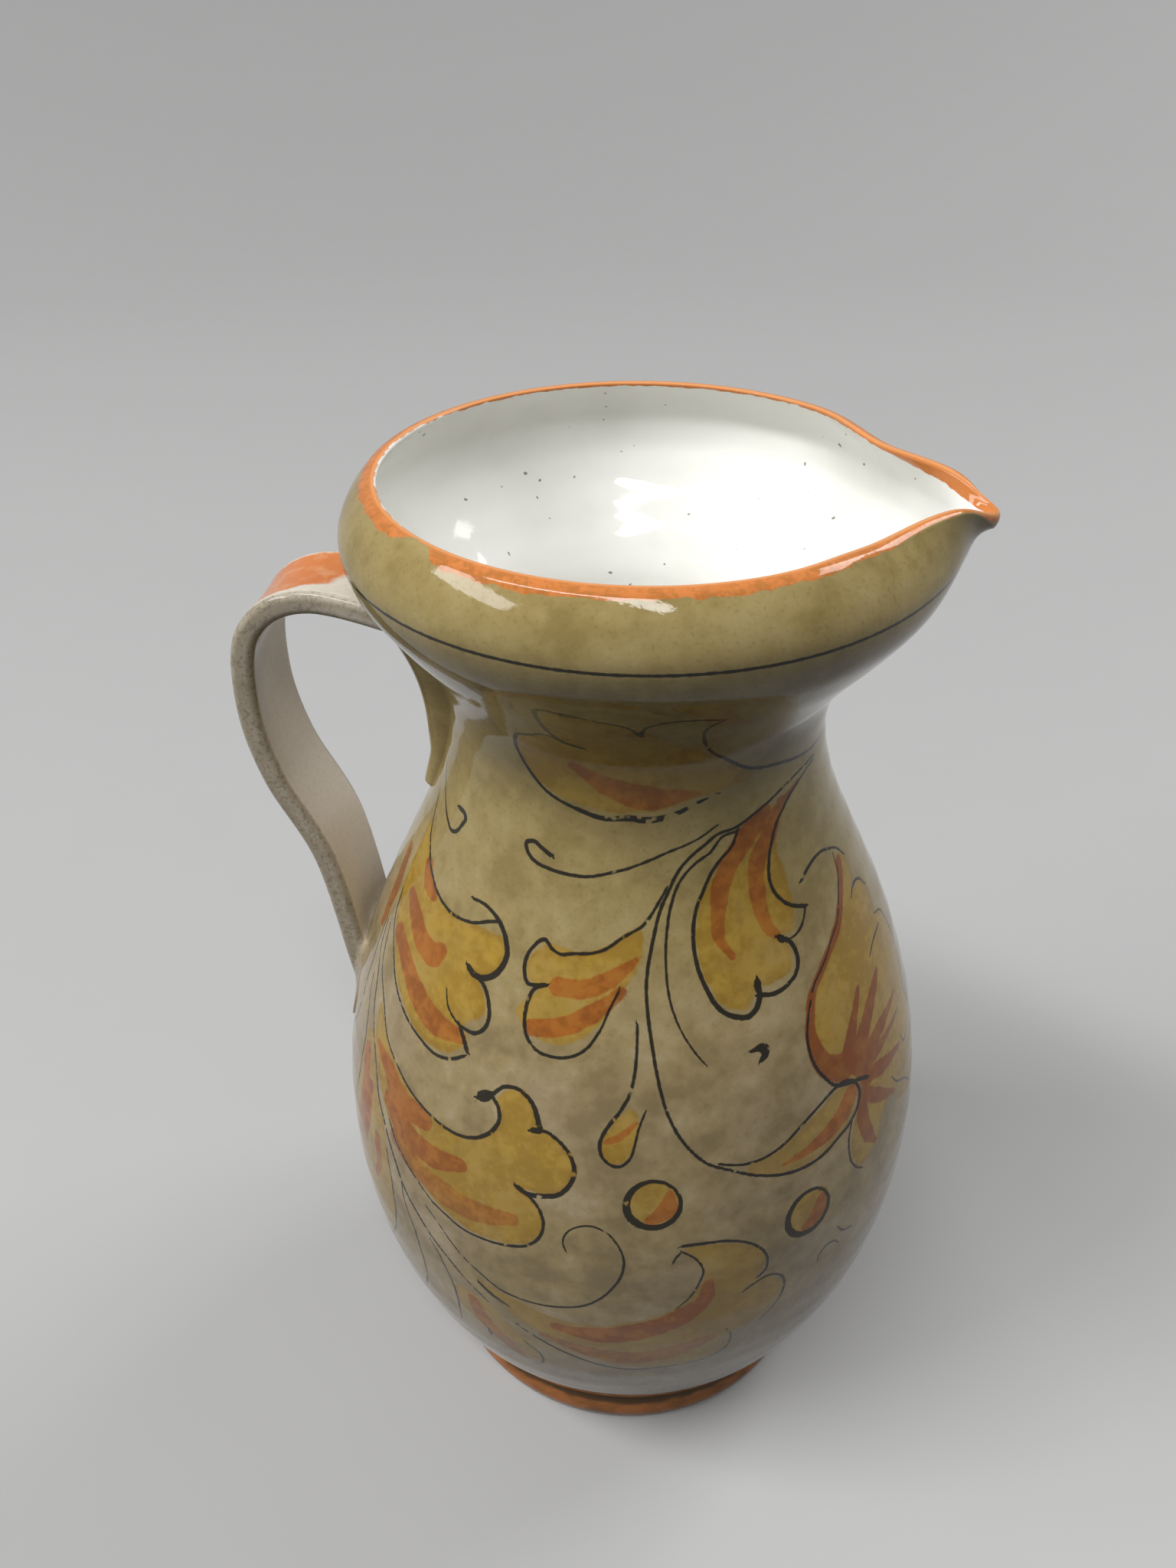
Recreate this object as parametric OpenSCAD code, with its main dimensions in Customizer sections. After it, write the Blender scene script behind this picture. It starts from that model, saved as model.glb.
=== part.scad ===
// Glazed earthenware pouring jug: a full belly on a low foot, a drawn-in neck, a wide mouth bowl
// with a pulled pouring lip, and a strap handle. The clay pieces are luted to each other.
// The jug stands on z = 0 with its turning axis on Z, the lip towards +X and the handle towards -X.

/* [Foot] */
// Greatest diameter of the rounded foot
foot_d = 101.6; // [90:0.2:116]
// Height of the foot, from the bench to the belly
foot_h = 8.5; // [5:0.5:14]
// How far the foot's edge is rounded back at the bench and under the belly
foot_bead = 1.8; // [0.5:0.1:3]
// Height of the raised step that centres the belly on the foot
foot_step_h = 3; // [1:0.5:5]

/* [Belly] */
// Diameter of the belly where it stands on the foot
base_d = 98; // [84:0.2:112]
// Greatest diameter of the belly
belly_d = 145.2; // [126:0.2:170]
// Height from the foot to the greatest diameter
belly_low_h = 76.5; // [60:0.5:95]
// Height from the greatest diameter to the shoulder seam
belly_top_h = 65; // [50:0.5:85]
// Thickness of the thrown wall
wall = 4.5; // [3.5:0.1:6]

/* [Neck] */
// Diameter at the shoulder seam, where the neck stands on the belly
shoulder_d = 114.8; // [100:0.2:124]
// Diameter of the neck's waist
neck_d = 82.6; // [70:0.2:94]
// Height from the shoulder seam to the waist
neck_low_h = 46.5; // [36:0.5:60]
// Height from the waist to the collar seam
neck_top_h = 13.5; // [10:0.5:18]

/* [Mouth bowl] */
// Diameter at the collar seam, where the bowl stands on the neck
collar_d = 88.8; // [84:0.2:98]
// Greatest diameter of the bowl
bowl_d = 122.4; // [108:0.2:138]
// Height from the collar seam to the bowl's greatest diameter
bowl_low_h = 28.5; // [22:0.5:38]
// Height from the bowl's greatest diameter to the rim's crown
bowl_top_h = 11.5; // [8:0.5:16]
// Outer diameter of the rim
rim_d = 112; // [98:0.2:120]
// Thickness of the wall at the rim
rim_wall = 3; // [2.4:0.1:4.4]
// Height of the rim's rounded crown
rim_crown = 1.2; // [0.6:0.1:2]

/* [Pouring lip] */
// Half of the arc that the lip's piece takes out of the bowl, in degrees
lip_half_arc = 60; // [50:1:75]
// How far the lip stands out past the rim
lip_reach = 17; // [8:0.5:24]
// How far the lip's tip droops below the rim
lip_droop = 7; // [0:0.5:10]
// How far the rim is pinched in on each side of the lip
lip_pinch = 1.9; // [0:0.1:4]
// How far the rim dips beside the lip
lip_dip = 1.2; // [0:0.1:3]
// How far the bowl swells out below the lip
lip_swell = 3; // [0:0.5:5]

/* [Handle] */
// Distance from the neck's waist out to the middle of the strap
handle_reach = 45.5; // [36:0.5:56]
// Height of the strap's upper end above the collar seam
handle_top_rise = 4; // [2:0.5:8]
// Drop of the strap's lower end below the shoulder seam
handle_root_drop = 28.5; // [18:0.5:40]
// Width of the strap at the bowl
handle_top_w = 22.5; // [15:0.5:26]
// Width of the strap at the belly
handle_root_w = 25; // [16:0.1:30]
// Thickness of the strap
handle_t = 5.4; // [4:0.1:7]
// Radius of the strap's long edges
handle_edge_r = 1.8; // [1:0.1:2]
// Length of the strap's tail, from the collar seam down the neck
tail_h = 38.5; // [26:0.5:46]
// Width of the tail
tail_w = 12; // [8:0.5:14]
// Thickness of the tail at its cut end
tail_tip_t = 2.2; // [0.8:0.1:3]

/* [Joints] */
// Height of the spigot that centres one thrown piece in the next
spigot_h = 2; // [1:0.5:3]
// Gap round a spigot and a step, filled with slip
slip_gap = 0.2; // [0.1:0.05:0.4]

/* [Hidden] */
$fn = 96;

// Heights of the seams and of the profile's turning points
base_z = foot_h;
belly_z = base_z + belly_low_h;
shoulder_z = belly_z + belly_top_h;
neck_z = shoulder_z + neck_low_h;
collar_z = neck_z + neck_top_h;
bowl_z = collar_z + bowl_low_h;
rim_z = bowl_z + bowl_top_h - rim_crown;

// Lean of the wall at the foot, shoulder seam, collar seam and rim, as run over rise
base_flare_share = 0.7;
shoulder_fall_share = -0.45;
collar_flare_share = 0.5;
rim_turn_share = -0.95;

// Share of the wall that a spigot takes, from the inside
spigot_share = 0.6;

// The outer profile: height, radius and lean at each station, and the stations where pieces meet
stations = [
    [base_z, base_d / 2, base_flare_share],
    [belly_z, belly_d / 2, 0],
    [shoulder_z, shoulder_d / 2, shoulder_fall_share],
    [neck_z, neck_d / 2, 0],
    [collar_z, collar_d / 2, collar_flare_share],
    [bowl_z, bowl_d / 2, 0],
    [rim_z, rim_d / 2, rim_turn_share]
];
at_base = 0;
at_shoulder = 2;
at_collar = 4;
at_rim = 6;
profile_steps = 10;
crown_steps = 6;

// Angles over which the lip's parts fade out, and its shape down the bowl's wall
lip_spread = 12.5;
lip_tip_arc = 2.4;
lip_point_power = 1.1;
lip_wall_power = 6;
droop_spread = 5.5;
droop_wall_power = 4;
pinch_angle = 28;
pinch_spread = 19;
pinch_wall_power = 2;
dip_spread = 11.8;
swell_spread = 35;
swell_rise_power = 0.8;
lip_fade_share = 0.35;
lip_steps = 20;
lip_crowd_power = 1.5;

// The strap's middle line, from the bowl to the belly. Each row holds the share of the reach, from
// the neck's waist outwards, and the share of the height from the lower end to the upper end.
strap_shares = [[0.627, 1.062], [0.94, 0.972], [1, 0.773], [0.917, 0.568], [0.7, 0.33]];
strap_steps = 8;
edge_steps = 4;
// Row of the strap from which the tail hangs, and how the tail thins towards its end
tail_row = 5;
tail_thin_power = 1.1;
tail_steps = 14;

// Point on the cubic from a to b, with slopes sa and sb over the span h, at the share t
function cubic(a, b, sa, sb, h, t) =
    a * (2 * t * t * t - 3 * t * t + 1) + b * (3 * t * t - 2 * t * t * t)
    + sa * h * (t * t * t - 2 * t * t + t) + sb * h * (t * t * t - t * t);

function between(a, b, t) = a + (b - a) * t;

function ease(t) = let (c = min(1, max(0, t))) c * c * (3 - 2 * c);

function bell(angle, spread) = exp(-pow(angle / spread, 2));

// Outer radius of the jug at a height
function outer_r(z) =
    let (
        last = len(stations) - 2,
        above = [for (i = [0:last]) if (z >= stations[i][0]) i],
        i = len(above) > 0 ? above[len(above) - 1] : 0,
        a = stations[i],
        b = stations[i + 1],
        h = b[0] - a[0]
    )
    cubic(a[1], b[1], a[2], b[2], h, min(1, max(0, (z - a[0]) / h)));

// Thickness of the wall at a height: even up to the collar seam, then thinner towards the rim
function wall_at(z) = between(wall, rim_wall, max(0, (z - collar_z) / (rim_z - collar_z)));

function inner_r(z) = outer_r(z) - wall_at(z);

// Heights of the profile's points between two stations
function rise(first, last) = [
    for (i = [first:last - 1])
        for (k = [0:profile_steps - 1])
            between(stations[i][0], stations[i + 1][0], k / profile_steps),
    stations[last][0]
];

function reversed(list) = [for (i = [len(list) - 1:-1:0]) list[i]];

function outer_points(first, last) = [for (z = rise(first, last)) [outer_r(z), z]];

// Points of the inner wall, from the top down to just above a height
function inner_points(first, last, from_z) =
    reversed([for (z = rise(first, last)) if (z > from_z) [inner_r(z), z]]);

// Radius of the joint's cylinder at a seam
function joint_r(z) = inner_r(z) + wall * spigot_share;

// The upper edge of a thrown piece: a flat seat outside and a spigot inside, from the outside in
function spigot_points(z) = [
    [joint_r(z) - slip_gap, z],
    [joint_r(z) - slip_gap, z + spigot_h - slip_gap],
    [inner_r(z + spigot_h), z + spigot_h - slip_gap]
];

// The lower edge of the next piece: a socket round the spigot, from the inside out
function socket_points(z) = [
    [inner_r(z + spigot_h), z + spigot_h],
    [joint_r(z), z + spigot_h],
    [joint_r(z), z]
];

// The rim's rounded crown, from the outside in
function crown_points() =
    let (half = rim_wall / 2)
    [
        for (k = [1:crown_steps - 1])
            let (turn = 180 * k / crown_steps)
            [rim_d / 2 - half + half * cos(turn), rim_z + rim_crown * sin(turn)]
    ];

// Section of the mouth bowl's wall, from the collar seam over the crown and back inside
function bowl_section() = concat(
    outer_points(at_collar, at_rim), crown_points(),
    inner_points(at_collar, at_rim, collar_z + spigot_h), socket_points(collar_z));

// Share of the way up the bowl
function bowl_share(z) = min(1, max(0, (z - collar_z) / (rim_z - collar_z)));

// Outward push of the lip on the bowl's wall at an angle from the lip's middle
function lip_push(angle, share) =
    lip_reach * pow(share, lip_wall_power)
    * exp(-pow(norm([angle, lip_tip_arc]) / lip_spread, lip_point_power))
    - lip_pinch * pow(share, pinch_wall_power) * bell(angle - pinch_angle, pinch_spread)
    + lip_swell * sin(180 * pow(share, swell_rise_power)) * bell(angle, swell_spread);

// Drop of the bowl's wall at an angle from the lip's middle
function lip_drop(angle, share) =
    pow(share, droop_wall_power)
    * (lip_droop * bell(angle, droop_spread) + lip_dip * bell(angle - pinch_angle, dip_spread));

// One radial section of the lip's piece, as points in space
function lip_ring(turn) =
    let (angle = abs(turn), fade = ease((lip_half_arc - angle) / (lip_half_arc * lip_fade_share)))
    [
        for (p = bowl_section())
            let (
                share = bowl_share(p[1]),
                r = p[0] + fade * lip_push(angle, share)
            )
            [r * cos(turn), r * sin(turn), p[1] - fade * lip_drop(angle, share)]
    ];

// Triangles across a flat end, paired from the ring's first and last points towards its middle
function end_faces(points) = [
    for (k = [0:ceil(points / 2) - 2])
        let (far = points - 1 - k)
        each [[k, k + 1, far], if (far - 1 > k + 1) [k + 1, far - 1, far]]
];

// Faces of a tube of rings with flat ends, each ring running anticlockwise seen from its start
function ring_faces(rings, points) =
    let (last = (rings - 1) * points)
    concat(
        end_faces(points),
        [
            for (i = [0:rings - 2])
                for (k = [0:points - 1])
                    let (a = i * points + k, b = i * points + (k + 1) % points)
                    each [[a, a + points, b], [b, a + points, b + points]]
        ],
        [for (face = end_faces(points)) [for (k = reversed(face)) last + k]]
    );

module ring_solid(rings) {
    count = len(rings[0]);
    polyhedron(points = [for (ring = rings) each ring], faces = ring_faces(len(rings), count));
}

// The strap's middle line: its ends run on into the bowl and the belly, where they are cut back
handle_top_z = collar_z + handle_top_rise;
handle_root_z = shoulder_z - handle_root_drop;
handle_rise = handle_top_z - handle_root_z;
strap_end = [outer_r(handle_top_z) - wall, handle_top_z];
strap_root = [outer_r(handle_root_z), handle_root_z];
strap_middle = [
    for (s = strap_shares) [neck_d / 2 + s[0] * handle_reach, handle_root_z + s[1] * handle_rise]
];
root_way = strap_root - strap_middle[len(strap_middle) - 1];
strap_bury = 2 * handle_t;
strap_foot = strap_root + root_way / norm(root_way) * strap_bury;
strap_knots = concat([strap_end], strap_middle, [strap_root, strap_foot]);

// Point at a share along one span of a curve through knots, taking its slopes from their neighbours
function knot(knots, i) =
    i < 0 ? 2 * knots[0] - knots[1]
    : i >= len(knots) ? 2 * knots[len(knots) - 1] - knots[len(knots) - 2]
    : knots[i];

function curve(knots, i, t) =
    let (
        slope_a = (knots[i + 1] - knot(knots, i - 1)) / 2,
        slope_b = (knot(knots, i + 2) - knots[i]) / 2
    )
    cubic(knots[i], knots[i + 1], slope_a, slope_b, 1, t);

strap_line = concat(
    [
        for (i = [0:len(strap_knots) - 2])
            for (k = [0:strap_steps - 1])
                curve(strap_knots, i, k / strap_steps)
    ],
    [strap_foot]
);
strap_last = len(strap_line) - 1;

// Unit vector square to the strap at a row, on the side away from the hand
function strap_normal(row) =
    let (way = strap_line[min(strap_last, row + 1)] - strap_line[max(0, row - 1)])
    [-way[1], way[0]] / norm(way);

// The strap's outline across its width: a flat band with rounded long edges
function strap_outline(width) =
    let (x = width / 2 - handle_edge_r, y = handle_t / 2 - handle_edge_r)
    [
        for (corner = [[1, 1, 0], [-1, 1, 90], [-1, -1, 180], [1, -1, 270]])
            for (k = [0:edge_steps])
                let (turn = corner[2] + 90 * k / edge_steps)
                [corner[0] * x + handle_edge_r * cos(turn), corner[1] * y + handle_edge_r * sin(turn)]
    ];

function strap_ring(row) =
    let (
        place = strap_line[row],
        normal = strap_normal(row),
        width = between(handle_top_w, handle_root_w, row / strap_last)
    )
    [
        for (q = strap_outline(width))
            [-(place[0] + normal[0] * q[1]), -q[0], place[1] + normal[1] * q[1]]
    ];

// A point on the strap's underside, as distance from the axis and height
function strap_under(row) = strap_line[row] - strap_normal(row) * handle_t / 2;

// The tail's outline beside the neck: under the strap, down its free face, and back inside the wall
tail_start = strap_under(tail_row);
tail_end_z = collar_z - tail_h;
tail_root_t = tail_start[0] - outer_r(tail_start[1]);

function tail_t(share) = between(tail_tip_t, tail_root_t, pow(share, tail_thin_power));

tail_outline = concat(
    [for (row = [0:tail_row]) strap_under(row)],
    [
        for (k = [1:tail_steps])
            let (share = 1 - k / tail_steps, z = between(tail_end_z, tail_start[1], share))
            [outer_r(z) + tail_t(share), z]
    ],
    [[inner_r(tail_end_z), tail_end_z], [inner_r(neck_z), neck_z]]
);

// The jug's outside as a full solid, which cuts the strap and its tail to the walls they sit on
module outside() {
    rotate_extrude() polygon(concat([[0, base_z]], outer_points(at_base, at_rim), [[0, rim_z]]));
}

module foot() {
    edge = [
        for (k = [0:profile_steps])
            let (share = k / profile_steps)
            [foot_d / 2 - foot_bead * pow(2 * share - 1, 2), foot_h * share]
    ];
    step_r = inner_r(base_z) - slip_gap;
    step_z = foot_h + foot_step_h;
    color("#c8742c")
        rotate_extrude()
            polygon(concat([[0, 0]], edge, [[step_r, foot_h], [step_r, step_z], [0, step_z]]));
}

module belly() {
    color("#b5a689")
        rotate_extrude()
            polygon(concat(
                outer_points(at_base, at_shoulder), spigot_points(shoulder_z),
                inner_points(at_base, at_shoulder, 0)));
}

module neck() {
    color("#9d8f5c")
        rotate_extrude()
            polygon(concat(
                outer_points(at_shoulder, at_collar), spigot_points(collar_z),
                inner_points(at_shoulder, at_collar, shoulder_z + spigot_h), socket_points(shoulder_z)));
}

module mouth_bowl() {
    color("#a89a62")
        rotate([0, 0, lip_half_arc])
            rotate_extrude(angle = 360 - 2 * lip_half_arc)
                polygon(bowl_section());
}

module pouring_lip() {
    turns = [
        for (j = [lip_steps:-1:-lip_steps])
            lip_half_arc * sign(j) * pow(abs(j) / lip_steps, lip_crowd_power)
    ];
    color("#b0a068") ring_solid([for (turn = turns) lip_ring(turn)]);
}

module strap_handle() {
    color("#c4b49a")
        difference() {
            ring_solid([for (row = [0:strap_last]) strap_ring(row)]);
            outside();
        }
}

module handle_tail() {
    color("#a3945f")
        difference() {
            rotate([90, 0, 180]) linear_extrude(tail_w, center = true) polygon(tail_outline);
            outside();
        }
}

foot();
belly();
neck();
mouth_bowl();
pouring_lip();
strap_handle();
handle_tail();
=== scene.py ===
"""Painted earthenware pouring jug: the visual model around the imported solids.

Every piece is a closed surface worked out on numpy grids in millimetres, in the frame of the CAD
model: +Z up along the turning axis, +X towards the pouring lip and -X towards the handle. Angles
round the jug, called turns, are 0 at the front (-Y), 90 degrees at the lip and -90 at the handle.
"""
import logging
import math
from dataclasses import dataclass, field
from enum import Enum
from functools import cached_property
from typing import Any, ClassVar, Mapping, Optional, Sequence, Union

import bpy
import numpy as np
from mathutils import Matrix, Vector


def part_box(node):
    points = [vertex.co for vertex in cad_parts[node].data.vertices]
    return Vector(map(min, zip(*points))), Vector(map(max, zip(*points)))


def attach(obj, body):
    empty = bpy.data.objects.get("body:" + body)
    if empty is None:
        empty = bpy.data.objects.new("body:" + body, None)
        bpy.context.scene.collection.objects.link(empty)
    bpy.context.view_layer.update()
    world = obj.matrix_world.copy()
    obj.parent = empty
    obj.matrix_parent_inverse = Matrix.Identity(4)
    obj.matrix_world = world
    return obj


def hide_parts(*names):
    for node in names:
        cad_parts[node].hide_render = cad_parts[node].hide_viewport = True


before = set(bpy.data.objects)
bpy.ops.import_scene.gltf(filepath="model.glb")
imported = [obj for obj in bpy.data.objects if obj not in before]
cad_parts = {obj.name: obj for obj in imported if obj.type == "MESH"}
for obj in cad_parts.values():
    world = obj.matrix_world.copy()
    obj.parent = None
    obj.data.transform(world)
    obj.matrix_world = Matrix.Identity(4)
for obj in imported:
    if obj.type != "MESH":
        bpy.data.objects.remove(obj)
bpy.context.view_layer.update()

LOG = logging.getLogger("jug")
MM = 0.001
TINY = 1e-6
BODY = "root"

Array = np.ndarray
Points = tuple[tuple[float, float], ...]
Colour = tuple[float, float, float]
Span = tuple[float, float]


def box_mm(node: str) -> tuple[Array, Array]:
    """Gives a CAD node's lowest and highest corners in millimetres.

    Args:
        node: the node's name.

    Returns:
        The two corners.
    """
    low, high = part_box(node)
    return np.array(low) / MM, np.array(high) / MM


def ease(share: Array) -> Array:
    """Rises smoothly from 0 to 1 while share does: 3s^2 - 2s^3."""
    held = np.clip(share, 0.0, 1.0)
    return held * held * (3.0 - 2.0 * held)


def bell(angle: Array, spread: float) -> Array:
    """Falls from 1 at angle 0 as exp(-(angle / spread)^2)."""
    return np.exp(-np.square(angle / spread))


def unit(vectors: Array) -> Array:
    """Scales vectors to length 1."""
    return vectors / np.maximum(np.linalg.norm(vectors, axis=-1, keepdims=True), TINY)


def hermite(share: Array, start: Array, start_way: Array, end: Array, end_way: Array) -> Array:
    """Cubic curve between two values with given slopes over a share from 0 to 1.

    Args:
        share: how far along the span each point lies.
        start: value at share 0.
        start_way: slope at share 0.
        end: value at share 1.
        end_way: slope at share 1.

    Returns:
        The values on the curve.
    """
    rest = 1.0 - share
    return (
        start * (1.0 + 2.0 * share) * rest**2
        + start_way * share * rest**2
        + end * share**2 * (3.0 - 2.0 * share)
        - end_way * share**2 * rest
    )


@dataclass
class Shell:
    """A closed surface as arrays: points in millimetres, faces, and values that its finish reads."""

    points: Array
    faces: list[Array]
    normals: Optional[Array] = None
    values: dict[str, Array] = field(default_factory=dict)

    def outward(self) -> bool:
        """Says whether the faces enclose a positive volume, which they do when they point outwards."""
        total = 0.0
        for group in self.faces:
            corner = self.points[group]
            for last in range(2, group.shape[1]):
                cross = np.cross(corner[:, last - 1], corner[:, last])
                total += float(np.einsum("ij,ij->", corner[:, 0], cross))
        return total > 0.0

    def to_object(self, name: str, material: bpy.types.Material) -> bpy.types.Object:
        """Puts the arrays into a mesh object at the origin.

        Args:
            name: the piece's name.
            material: the finish that all its faces take.

        Returns:
            The new object, linked to the scene.
        """
        groups = self.faces if self.outward() else [group[:, ::-1] for group in self.faces]
        corners = np.concatenate([group.ravel() for group in groups]).astype(np.int32)
        counts = np.concatenate([np.full(len(group), group.shape[1]) for group in groups])
        starts = np.concatenate([[0], np.cumsum(counts)[:-1]]).astype(np.int32)
        mesh = bpy.data.meshes.new(name)
        mesh.vertices.add(len(self.points))
        mesh.vertices.foreach_set("co", (self.points * MM).astype(np.float32).ravel())
        mesh.loops.add(len(corners))
        mesh.loops.foreach_set("vertex_index", corners)
        mesh.polygons.add(len(starts))
        mesh.polygons.foreach_set("loop_start", starts)
        mesh.update(calc_edges=True)
        mesh.validate()
        mesh.shade_smooth()
        for key, value in self.values.items():
            layer = mesh.attributes.new(key, "FLOAT", "POINT")
            layer.data.foreach_set("value", value.astype(np.float32).ravel())
        if self.normals is not None:
            mesh.normals_split_custom_set_from_vertices(self.normals.tolist())
        mesh.materials.append(material)
        made = bpy.data.objects.new(name, mesh)
        bpy.context.scene.collection.objects.link(made)
        return made


def ring_faces(rings: int, points: int, closed: bool) -> list[Array]:
    """Joins equal closed rings of points into one closed surface.

    Neighbouring rings are joined by quads. An open run of rings gets a flat cover at each end, laced
    from both ends of the ring towards its middle.

    Args:
        rings: how many rings there are.
        points: how many points each ring has, an even number.
        closed: whether the last ring joins the first.

    Returns:
        The face groups as arrays of point numbers.
    """
    ring = np.arange(rings if closed else rings - 1)[:, None]
    point = np.arange(points)[None, :]
    after, beside = (ring + 1) % rings, (point + 1) % points
    quads = np.stack(
        [ring * points + point, after * points + point, after * points + beside, ring * points + beside],
        axis=-1,
    ).reshape(-1, 4)
    if closed:
        return [quads]
    near = np.arange(points // 2 - 1)
    cover = np.stack([near, near + 1, points - 2 - near, points - 1 - near], axis=-1)
    far_cover = (cover + (rings - 1) * points)[:, ::-1]
    return [np.concatenate([quads, cover, far_cover])]


def full_turn(columns: int) -> Array:
    """Gives angles in radians, evenly round a full turn from the back."""
    return np.radians(np.arange(columns) * 360.0 / columns - 180.0)


def turned_grid(r: Array, z: Array, columns: int) -> tuple[Array, Array]:
    """Turns an open line round the axis.

    Args:
        r: the line's radii.
        z: its heights.
        columns: how often the line is set round the full turn.

    Returns:
        The points, column after column, and the quads that join neighbouring columns.
    """
    turn, high = np.broadcast_arrays(full_turn(columns)[:, None], z[None, :])
    points = np.stack([r * np.sin(turn), -r * np.cos(turn), high], axis=-1).reshape(-1, 3)
    here = np.arange(columns)[:, None] * len(r) + np.arange(len(r) - 1)[None, :]
    after = np.roll(here, -1, axis=0)
    return points, np.stack([here, after, after + 1, here + 1], axis=-1).reshape(-1, 4)


@dataclass(frozen=True)
class WallLine:
    """A closed line in the (radius, height) plane that is carried round the jug.

    Each point also has the line's way there, how much of the outer ridges and the inner swirls it
    takes, and whether it is inside the jug.
    """

    r: Array
    z: Array
    way_r: Array
    way_z: Array
    ridge: Array
    swirl: Array
    inside: Array

    @classmethod
    def joined(cls, *lines: "WallLine") -> "WallLine":
        """Sets lines end to end."""
        names = ("r", "z", "way_r", "way_z", "ridge", "swirl", "inside")
        return cls(*(np.concatenate([getattr(line, name) for line in lines]) for name in names))

    @classmethod
    def seat(cls, points: Points, inside: float = 1.0) -> "WallLine":
        """Makes a straight-sided seat from its corners."""
        r, z = np.array(points, float).T
        way_r, way_z = (np.gradient(r), np.gradient(z)) if len(r) > 1 else (np.ones(1), np.zeros(1))
        none = np.zeros(len(r))
        return cls(r, z, way_r, way_z, none, none, none + inside)


@dataclass(frozen=True)
class JugWall:
    """The thrown wall that belly, neck, bowl and lip share, in millimetres and degrees."""

    base_z: float
    shoulder_z: float
    collar_z: float
    belly_r: float
    shoulder_r: float
    bowl_r: float
    base_r: float = 49.0
    belly_z: float = 85.0
    neck_z: float = 196.5
    neck_r: float = 41.3
    collar_r: float = 44.4
    bowl_z: float = 238.5
    rim_z: float = 248.8
    rim_r: float = 56.0
    base_slope: float = 0.7
    shoulder_slope: float = -0.45
    collar_slope: float = 0.5
    rim_slope: float = -0.95
    wall: float = 4.5
    rim_wall: float = 3.0
    rim_turn: float = 6.0
    lip_arc: float = 60.0
    lip_fade: float = 21.0
    lip_reach: float = 18.3
    lip_spread: float = 12.3
    lip_tip_arc: float = 4.0
    lip_point_power: float = 1.1
    lip_wall_power: float = 6.0
    lip_pinch: float = 1.9
    pinch_angle: float = 28.0
    pinch_spread: float = 19.0
    lip_swell: float = 3.0
    swell_spread: float = 35.0
    swell_power: float = 0.8
    lip_droop: float = 7.0
    droop_spread: float = 5.5
    lip_dip: float = 1.2
    dip_spread: float = 11.8
    least_share: float = 0.05
    droop_power: float = 4.0
    ridge_height: float = 0.035
    ridge_sways: Span = (0.8, 0.6)
    coarse_share: float = 1.3
    ridge_pitches: Span = (1.45, 3.6)
    swirl_height: float = 0.07
    swirl_pitches: Span = (1.1, 2.9)
    ridge_fade: float = 8.0
    turn_step: float = 0.002
    line_step: float = 0.02
    slope_step: float = 0.05
    spigot_h: float = 2.0
    spigot_share: float = 0.6

    @classmethod
    def from_frame(cls) -> "JugWall":
        """Reads the seams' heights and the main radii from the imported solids' boxes."""
        belly, neck, bowl = box_mm("belly"), box_mm("neck"), box_mm("mouth_bowl")
        return cls(
            base_z=float(belly[0][2]),
            shoulder_z=float(neck[0][2]),
            collar_z=float(bowl[0][2]),
            belly_r=float(belly[1][0]),
            shoulder_r=float(neck[1][0]),
            bowl_r=-float(bowl[0][0]),
        )

    def stations(self) -> Array:
        """Gives height, radius and slope where the outer curve's spans meet."""
        return np.array(
            [
                (self.base_z, self.base_r, self.base_slope),
                (self.belly_z, self.belly_r, 0.0),
                (self.shoulder_z, self.shoulder_r, self.shoulder_slope),
                (self.neck_z, self.neck_r, 0.0),
                (self.collar_z, self.collar_r, self.collar_slope),
                (self.bowl_z, self.bowl_r, 0.0),
                (self.rim_z, self.rim_r, self.rim_slope),
            ]
        )

    def outer_r(self, z: Array) -> Array:
        """Works out the outer radius: a cubic Hermite curve through the stations.

        Args:
            z: heights in millimetres.

        Returns:
            The radii there.
        """
        knots = self.stations()
        span = np.clip(np.searchsorted(knots[:, 0], z, side="right") - 1, 0, len(knots) - 2)
        low, high = knots[span], knots[span + 1]
        rise = high[..., 0] - low[..., 0]
        share = (z - low[..., 0]) / rise
        return hermite(share, low[..., 1], low[..., 2] * rise, high[..., 1], high[..., 2] * rise)

    def inner_r(self, z: Array) -> Array:
        """Gives the inner radius: the wall thins evenly from the collar to the rim."""
        share = np.clip((z - self.collar_z) / (self.rim_z - self.collar_z), 0.0, 1.0)
        return self.outer_r(z) - self.wall - (self.rim_wall - self.wall) * share

    def slope(self, z: Array, inside: bool) -> Array:
        """Gives the radius's change with height by a central difference."""
        radius, step = (self.inner_r if inside else self.outer_r), self.slope_step
        return (radius(z + step) - radius(z - step)) / (2.0 * step)

    def joint_r(self, z: float) -> float:
        """Gives the spigot's radius at a seam."""
        return float(self.inner_r(np.array(z))) + self.spigot_share * self.wall

    def ridges(self, turn: Array, z: Array) -> Array:
        """Gives the throwing marks outside: two slow sines up the wall that wander with the turn."""
        fine, coarse = (z / pitch for pitch in self.ridge_pitches)
        sway, coarse_sway = self.ridge_sways
        marks = np.sin(fine + sway * np.sin(turn + 1.0))
        marks = marks + self.coarse_share * np.sin(coarse + coarse_sway * np.sin(2 * turn))
        return self.ridge_height * marks * ease((self.rim_z - z) / self.ridge_fade)

    def swirls(self, turn: Array, z: Array) -> Array:
        """Gives the finger spirals inside: a sine that falls with the turn and a fainter one that climbs."""
        fine, coarse = (z / pitch for pitch in self.swirl_pitches)
        marks = np.sin(fine + turn) + 0.5 * np.sin(coarse - turn)
        return self.swirl_height * marks * ease((self.rim_z - z) / self.ridge_fade)

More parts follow.
